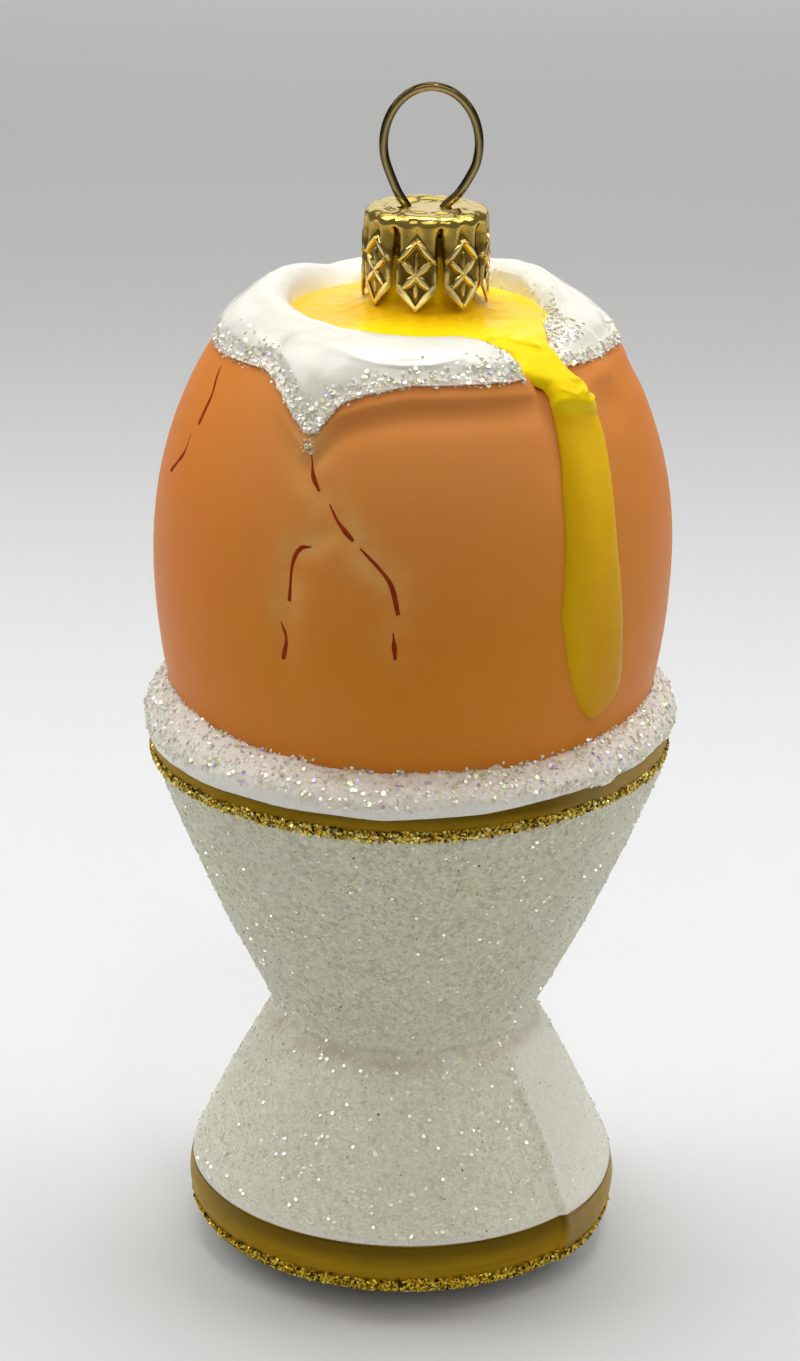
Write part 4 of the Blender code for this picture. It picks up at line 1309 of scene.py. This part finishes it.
# More stuck to the shell just past the white's border, except under the yolk, and the first of these lie in a
# blob of glue that ran on from the long drip's tip.
turns = rng.uniform(-180.0, 180.0, STRAY_FLAKES)
turns = turns[(turns < 31.0) | (turns > 51.0)]
turns = np.concatenate([rng.normal(DRIP_TIP, 0.8, BLOB_FLAKES), turns])
heights = white_border(turns) - np.abs(rng.normal(0.0, 0.16, len(turns))) * MM
heights[:BLOB_FLAKES] = rng.uniform(85.6, 86.8, BLOB_FLAKES) * MM
outward = cartesian(shell_radius(heights) + shell_relief(turns, heights), turns, heights)
spots = np.vstack([spots[seen], outward])
normals = np.vstack([normals[seen], outward / np.linalg.norm(outward, axis=1)[:, None]])
white_glitter, white_glints = laid_glitter("white", spots, normals, rng)

# %% Gold glitter lines
# In each palette the near-black share is painted shade between flakes, the palest a painted highlight.
GOLD_FLAKES = (
    (0.40, (1.0, 0.74, 0.12)), (0.14, (0.72, 0.46, 0.04)), (0.26, (1.0, 0.89, 0.34)),
    (0.20, (0.08, 0.04, 0.003)),
)
FOOT_FLAKES = (
    (0.40, (1.0, 0.70, 0.05)), (0.16, (0.72, 0.43, 0.02)), (0.22, (1.0, 0.84, 0.16)),
    (0.22, (0.05, 0.025, 0.002)),
)
GOLD_COUNT = 10500


def gold_line(name, middle, half_width, profile, follow, flakes, rng):
    """A dense crooked line of gold flakes round the cup, on the profile of (height, radius) marks."""
    turn = rng.uniform(-180.0, 180.0, GOLD_COUNT)
    rise = rng.normal(0.0, 0.55, GOLD_COUNT).clip(-1.0, 1.0) * half_width
    rise += 0.07 * MM * (np.sin(np.radians(7.0 * turn)) + 0.6 * np.sin(np.radians(19.0 * turn) + 1.0))
    mound = np.sqrt(np.clip(1.0 - (rise / half_width / 1.3) ** 2, 0.05, 1.0))
    heap = rng.uniform(0.0, 0.30, GOLD_COUNT) * MM * mound
    radius = np.interp(middle + rise, *profile) + heap
    height = middle + rise
    if follow == "seam":
        radius = radius + seam_relief(turn, height)
    else:
        height = height + gold_climb(turn)
    spots, flat_out = cartesian(radius, turn, height), cartesian(1.0, turn, 0.0)
    return scatter(name, spots, flat_out, (0.10, 0.19), 0.9, flakes, rng, 5)


bowl_profile = (np.array([49.0, 50.2, 50.6, 52.2]) * MM, np.array([24.75, 25.1, 25.2, 25.35]) * MM)
foot_profile = (np.array([0.0, 0.35, 1.0, 2.4, 4.2]) * MM, np.array([19.3, 19.85, 20.65, 21.4, 21.75]) * MM)
bowl_glitter = gold_line("bowl_gold_glitter", 50.6 * MM, 0.55 * MM, bowl_profile, "climb", GOLD_FLAKES, rng)
foot_glitter = gold_line("foot_gold_glitter", 1.55 * MM, 0.85 * MM, foot_profile, "seam", FOOT_FLAKES, rng)

# %% Dust on the frosting
SPARKLES = ((0.7, (1.0, 0.99, 0.92)), (0.3, (1.0, 0.96, 0.84)))
CLEAR_DUST = ((0.68, (1.0, 1.0, 0.90)), (0.22, (0.66, 0.67, 0.55)), (0.10, (0.97, 0.90, 0.84)))
DARK_DUST = ((1.0, (0.05, 0.045, 0.03)),)


def dust(name, count, sizes, tilt, palette, sink=0.0, standing=False):
    """Flakes on the frosting, fewer right of the seam. Standing ones face out and up, towards the lamp."""
    spots, normals = places_on(cup, frosted * (1.0 - 0.8 * right_of_seam), count, rng)
    if standing:
        normals[:, 2] = 0.85 * np.hypot(normals[:, 0], normals[:, 1])
        normals /= np.linalg.norm(normals, axis=1)[:, None]
    return scatter(name, spots, normals, sizes, tilt, palette, rng, 6, sink)


frost_dust = dust("frost_dust", 6500, (0.08, 0.15), 0.5, CLEAR_DUST)
frost_sparkles = dust("frost_sparkles", 2400, (0.13, 0.21), 0.27, SPARKLES, -0.03 * MM, True)
frost_specks = dust("frost_specks", 110, (0.07, 0.12), 0.2, DARK_DUST, 0.02 * MM)

# %% [markdown]
# ## Finishes
#
# Each finish is a Principled shader. Two effects are shared, so they are node groups built once: a fine
# mottle that hand-laid paint has, and a grain that scatters tiny bumps. The groups put out masks only,
# and the shaders stay in the materials.

# %% Shared node groups
def new_group(name, inputs, outputs):
    group = bpy.data.node_groups.new(name, "ShaderNodeTree")
    for label, value in inputs:
        group.interface.new_socket(label, in_out="INPUT", socket_type="NodeSocketFloat").default_value = value
    for label in outputs:
        group.interface.new_socket(label, in_out="OUTPUT", socket_type="NodeSocketFloat")
    return group, group.nodes.new("NodeGroupInput"), group.nodes.new("NodeGroupOutput")


def link_all(tree, *pairs):
    for output, socket in pairs:
        tree.links.new(output, socket)


def make_mottle_group():
    """Cloudy variation at one size, as a mask from 0 to 1."""
    group, inside, outside = new_group("Hand-laid mottle", [("Size", 100.0), ("Contrast", 1.0)], ["Mask"])
    place = group.nodes.new("ShaderNodeTexCoord")
    clouds = group.nodes.new("ShaderNodeTexNoise")
    clouds.inputs["Detail"].default_value = 4.0
    clouds.inputs["Roughness"].default_value = 0.55
    centred, spread, back = (group.nodes.new("ShaderNodeMath") for _ in range(3))
    for node, operation in ((centred, "SUBTRACT"), (spread, "MULTIPLY"), (back, "ADD")):
        node.operation = operation
        node.inputs[1].default_value = 0.5
    back.use_clamp = True
    link_all(
        group,
        (place.outputs["Object"], clouds.inputs["Vector"]), (inside.outputs["Size"], clouds.inputs["Scale"]),
        (clouds.outputs["Fac"], centred.inputs[0]), (centred.outputs[0], spread.inputs[0]),
        (inside.outputs["Contrast"], spread.inputs[1]), (spread.outputs[0], back.inputs[0]),
        (back.outputs[0], outside.inputs["Mask"]),
    )
    return group


def make_grain_group():
    """Tiny cells, each with its own brightness, and the height that goes with them."""
    group, inside, outside = new_group("Sugar grain", [("Size", 4000.0)], ["Cell", "Height"])
    place = group.nodes.new("ShaderNodeTexCoord")
    cells = group.nodes.new("ShaderNodeTexVoronoi")
    split = group.nodes.new("ShaderNodeSeparateColor")
    link_all(
        group,
        (place.outputs["Object"], cells.inputs["Vector"]), (inside.outputs["Size"], cells.inputs["Scale"]),
        (cells.outputs["Color"], split.inputs["Color"]), (split.outputs["Red"], outside.inputs["Cell"]),
        (cells.outputs["Distance"], outside.inputs["Height"]),
    )
    return group


MOTTLE = make_mottle_group()
GRAIN = make_grain_group()
print("groups", MOTTLE.name, "and", GRAIN.name)


class Finish:
    """A material in the making: its shader, and short ways to add the nodes that every finish here uses."""

    def __init__(self, name, colour, roughness, metallic=0.0, shine=0.5, shine_tint=(1.0, 1.0, 1.0)):
        self.material, self.shader = principled(name, colour, roughness, metallic, shine, shine_tint)
        self.nodes = self.material.node_tree.nodes
        self.links = self.material.node_tree.links

    def mottle(self, size, contrast):
        node = self.nodes.new("ShaderNodeGroup")
        node.node_tree = MOTTLE
        node.inputs["Size"].default_value = size
        node.inputs["Contrast"].default_value = contrast
        return node.outputs["Mask"]

    def grain(self, size):
        node = self.nodes.new("ShaderNodeGroup")
        node.node_tree = GRAIN
        node.inputs["Size"].default_value = size
        return node.outputs

    def mask(self, name):
        node = self.nodes.new("ShaderNodeAttribute")
        node.attribute_name = name
        return node.outputs["Fac"]

    def mix(self, share, first, second):
        """A colour between first and second, each a colour or a socket."""
        node = self.nodes.new("ShaderNodeMix")
        node.data_type = "RGBA"
        for value, key in ((share, 0), (first, 6), (second, 7)):
            if isinstance(value, bpy.types.NodeSocket):
                self.links.new(value, node.inputs[key])
            else:
                node.inputs[key].default_value = value if key == 0 else (*value, 1.0)
        return node.outputs[2]

    def remap(self, value, low, high):
        node = self.nodes.new("ShaderNodeMapRange")
        self.links.new(value, node.inputs["Value"])
        node.inputs["To Min"].default_value = low
        node.inputs["To Max"].default_value = high
        return node.outputs["Result"]

    def times(self, first, second):
        node = self.nodes.new("ShaderNodeMath")
        node.operation = "MULTIPLY"
        self.links.new(first, node.inputs[0])
        if isinstance(second, bpy.types.NodeSocket):
            self.links.new(second, node.inputs[1])
        else:
            node.inputs[1].default_value = second
        return node.outputs[0]

    def colour(self, socket):
        self.links.new(socket, self.shader.inputs["Base Color"])

    def rough(self, socket):
        self.links.new(socket, self.shader.inputs["Roughness"])

    def bump(self, height, distance, strength=1.0):
        node = self.nodes.new("ShaderNodeBump")
        node.inputs["Distance"].default_value = distance
        node.inputs["Strength"].default_value = strength
        self.links.new(height, node.inputs["Height"])
        self.links.new(node.outputs["Normal"], self.shader.inputs["Normal"])

    def coat(self, weight, roughness):
        self.shader.inputs["Coat Weight"].default_value = weight
        self.shader.inputs["Coat Roughness"].default_value = roughness


# %% Finish of each piece
def shell_lacquer():
    finish = Finish("shell_lacquer", (0.76, 0.27, 0.04), 0.42, shine=0.13, shine_tint=(1.0, 0.55, 0.28))
    cloud = finish.mottle(70.0, 2.2)
    low = finish.mix(cloud, (0.77, 0.260, 0.034), (0.72, 0.254, 0.026))
    high = finish.mix(cloud, (0.77, 0.286, 0.082), (0.73, 0.276, 0.064))
    front = finish.mix(finish.mask("rise"), low, high)
    # Painted shade: the sides are a deeper, darker orange than the front.
    shaded_flank = finish.mix(finish.mask("rise"), (0.78, 0.226, 0.024), (0.80, 0.252, 0.042))
    base = finish.mix(finish.mask("shaded_flank"), front, shaded_flank)
    pale = finish.times(finish.mask("crack_halo"), finish.mottle(260.0, 2.0))
    finish.colour(finish.mix(pale, base, (0.80, 0.46, 0.15)))
    finish.rough(finish.remap(finish.mottle(300.0, 1.5), 0.34, 0.46))
    finish.bump(finish.mottle(1400.0, 1.0), 0.00002)
    return finish.material


def white_enamel():
    finish = Finish("white_enamel", (0.80, 0.79, 0.72), 0.2)
    base = finish.mix(finish.mottle(220.0, 1.6), (0.85, 0.84, 0.77), (0.81, 0.79, 0.70))
    glue = finish.mix(finish.mottle(900.0, 3.0), (0.97, 0.94, 0.88), (0.92, 0.85, 0.79))
    coated = finish.mix(finish.mask("fringe"), base, glue)
    # Painted shade greys the lower front of the white.
    skirt = finish.mix(finish.mask("shaded_skirt"), coated, (0.72, 0.71, 0.63))
    edged = finish.mix(finish.mask("glue_edge"), skirt, (0.90, 0.75, 0.66))
    stain = finish.times(finish.mask("yolk_stain"), finish.mottle(420.0, 3.0))
    finish.colour(finish.mix(stain, edged, (1.0, 0.90, 0.52)))
    finish.rough(finish.remap(finish.mottle(500.0, 1.5), 0.16, 0.30))
    finish.bump(finish.mottle(900.0, 1.0), 0.00003)
    finish.coat(0.3, 0.1)
    return finish.material


def yolk_enamel():
    finish = Finish("yolk_enamel", (1.0, 0.70, 0.006), 0.25, shine=0.12, shine_tint=(1.0, 0.8, 0.1))
    base = finish.mix(finish.mottle(150.0, 2.0), (1.0, 0.80, 0.008), (0.98, 0.65, 0.004))
    spill = finish.mix(finish.mask("shaded"), base, (0.90, 0.50, 0.004))
    drip = finish.mix(finish.mask("drip_low"), (0.94, 0.57, 0.018), (0.70, 0.335, 0.004))
    drip = finish.mix(finish.mask("drip_left"), drip, (0.72, 0.40, 0.006))
    finish.colour(finish.mix(finish.mask("thin_coat"), spill, drip))
    finish.rough(finish.remap(finish.mottle(420.0, 1.8), 0.18, 0.34))
    finish.bump(finish.mottle(700.0, 1.0), 0.00003)
    return finish.material


def cup_frost():
    finish = Finish("cup_frost", (0.70, 0.70, 0.60), 0.6, shine=0.4)
    cell = finish.grain(3400.0)
    # The foot is painted lighter and the bowl darker, as painted light and shade on one coat.
    bowl = finish.mix(cell["Cell"], (0.41, 0.42, 0.25), (0.84, 0.84, 0.57))
    foot = finish.mix(cell["Cell"], (0.67, 0.68, 0.49), (0.95, 0.96, 0.75))
    base = finish.mix(finish.mask("bowl"), foot, bowl)
    gritty = finish.mix(finish.times(finish.mask("grit"), 0.55), base, (0.94, 0.94, 0.82))
    cloudy = finish.mix(finish.times(finish.mottle(110.0, 2.0), 0.5), gritty, (0.76, 0.70, 0.62))
    blush = finish.mix(finish.times(finish.mask("blush"), 0.7), cloudy, (0.96, 0.93, 0.87))
    bare = finish.mix(finish.mask("frosted"), (0.91, 0.88, 0.84), blush)
    stain = finish.times(finish.mask("waist_stain"), finish.mottle(200.0, 3.0))
    finish.colour(finish.mix(stain, bare, (0.62, 0.50, 0.38)))
    finish.rough(finish.remap(cell["Cell"], 0.3, 0.8))
    finish.bump(cell["Height"], 0.00010, 0.9)
    return finish.material


def gold_paint():
    finish = Finish("gold_paint", (0.26, 0.16, 0.012), 0.36, 0.85, 0.3, (1.0, 0.85, 0.5))
    streaks = finish.nodes.new("ShaderNodeTexNoise")
    stretch = finish.nodes.new("ShaderNodeMapping")
    place = finish.nodes.new("ShaderNodeTexCoord")
    stretch.inputs["Scale"].default_value = (60.0, 60.0, 1100.0)
    streaks.inputs["Scale"].default_value = 1.0
    streaks.inputs["Detail"].default_value = 3.0
    link_all(
        finish,
        (place.outputs["Object"], stretch.inputs["Vector"]),
        (stretch.outputs["Vector"], streaks.inputs["Vector"]),
    )
    brushed = finish.remap(streaks.outputs["Fac"], -0.2, 1.2)
    rich = finish.mix(brushed, (0.27, 0.152, 0.006), (0.53, 0.305, 0.012))
    rich = finish.mix(finish.mask("upper"), rich, (0.15, 0.090, 0.006))
    finish.colour(finish.mix(finish.mask("worn"), rich, (0.34, 0.23, 0.088)))
    finish.rough(finish.remap(finish.mottle(500.0, 2.0), 0.26, 0.46))
    finish.bump(streaks.outputs["Fac"], 0.00003, 0.5)
    return finish.material


def bead_paste():
    finish = Finish("bead_paste", (0.90, 0.79, 0.72), 0.5)
    cell = finish.grain(2600.0)
    glittered = finish.mix(cell["Cell"], (0.86, 0.78, 0.71), (1.0, 0.95, 0.88))
    finish.colour(finish.mix(finish.mask("glittered"), (0.93, 0.92, 0.84), glittered))
    finish.rough(finish.remap(cell["Cell"], 0.22, 0.6))
    finish.bump(cell["Height"], 0.00010, 0.7)
    return finish.material


def flake_finish(name, metallic, roughness, shine):
    finish = Finish(name, (0.9, 0.9, 0.9), roughness, metallic, shine)
    tint = finish.nodes.new("ShaderNodeVertexColor")
    tint.layer_name = "flake_colour"
    finish.colour(tint.outputs["Color"])
    return finish.material


def cap_gilt():
    finish = Finish("cap_gilt", (0.72, 0.46, 0.12), 0.14, 1.0)
    wall = finish.mix(finish.mottle(500.0, 2.5), (0.76, 0.54, 0.12), (0.42, 0.27, 0.045))
    # The crown is painted lighter, the raised bars get a painted highlight and the sunk parts painted shade.
    crown = finish.mix(finish.mask("crown"), wall, (0.76, 0.56, 0.13))
    raised = finish.mix(finish.mask("stamped"), crown, (1.0, 0.84, 0.38))
    finish.colour(finish.mix(finish.mask("sunk"), raised, (0.24, 0.135, 0.02)))
    finish.rough(finish.remap(finish.mottle(1100.0, 2.0), 0.08, 0.20))
    finish.bump(finish.mottle(1800.0, 1.0), 0.00002)
    return finish.material


def wire_brass():
    finish = Finish("wire_brass", (0.30, 0.22, 0.10), 0.18, 1.0)
    # Near-black flanks are a painted dark reflection, the line along front and back a painted highlight.
    painted_dark_flanks = finish.mix(finish.mottle(500.0, 2.5), (0.065, 0.044, 0.013), (0.05, 0.032, 0.009))
    finish.colour(finish.mix(finish.mask("painted_highlight_line"), painted_dark_flanks, (0.78, 0.60, 0.25)))
    finish.rough(finish.remap(finish.mottle(900.0, 2.0), 0.05, 0.13))
    return finish.material


def crack_paint():
    finish = Finish("crack_paint", (0.12, 0.012, 0.003), 0.5, shine=0.05)
    finish.colour(finish.mix(finish.mottle(1500.0, 3.0), (0.40, 0.038, 0.008), (0.24, 0.024, 0.006)))
    return finish.material


iridescent_flake = flake_finish("iridescent_flake", 0.1, 0.15, 0.5)
mirror_flake = flake_finish("mirror_flake", 0.4, 0.24, 0.5)
frost_flake = flake_finish("frost_flake", 0.6, 0.32, 0.8)
gold_flake = flake_finish("gold_flake", 0.6, 0.24, 0.05)
clear_flake = flake_finish("clear_flake", 0.05, 0.2, 0.4)
gold_band_paint = gold_paint()
made = (
    (cup, cup_frost(), "cup_frost", ("egg_cup",)),
    (foot_band, gold_band_paint, "cap_gilt", ()),
    (bowl_band, gold_band_paint, "cap_gilt", ()),
    (shell, shell_lacquer(), "shell_lacquer", ("egg_shell",)),
    (cracks, crack_paint(), "shell_lacquer", ()),
    (white, white_enamel(), "white_enamel", ("egg_white",)),
    (yolk, yolk_enamel(), "yolk_enamel", ("yolk",)),
    (bead, bead_paste(), "bead_paste", ("rim_bead",)),
    (cap, cap_gilt(), "cap_gilt", ("cap",)),
    (wire, wire_brass(), "wire_brass", ("wire_eye",)),
    (bead_glitter, iridescent_flake, "bead_paste", ()),
    (bead_glints, mirror_flake, "bead_paste", ()),
    (white_glitter, iridescent_flake, "white_enamel", ()),
    (white_glints, mirror_flake, "white_enamel", ()),
    (bowl_glitter, gold_flake, "cap_gilt", ()),
    (foot_glitter, gold_flake, "cap_gilt", ()),
    (frost_dust, clear_flake, "cup_frost", ()),
    (frost_sparkles, frost_flake, "cup_frost", ()),
    (frost_specks, clear_flake, "cup_frost", ()),
)
for piece, material, slot, nodes in made:
    piece.data.materials.append(material)
    hand_over(piece, slot, *nodes)
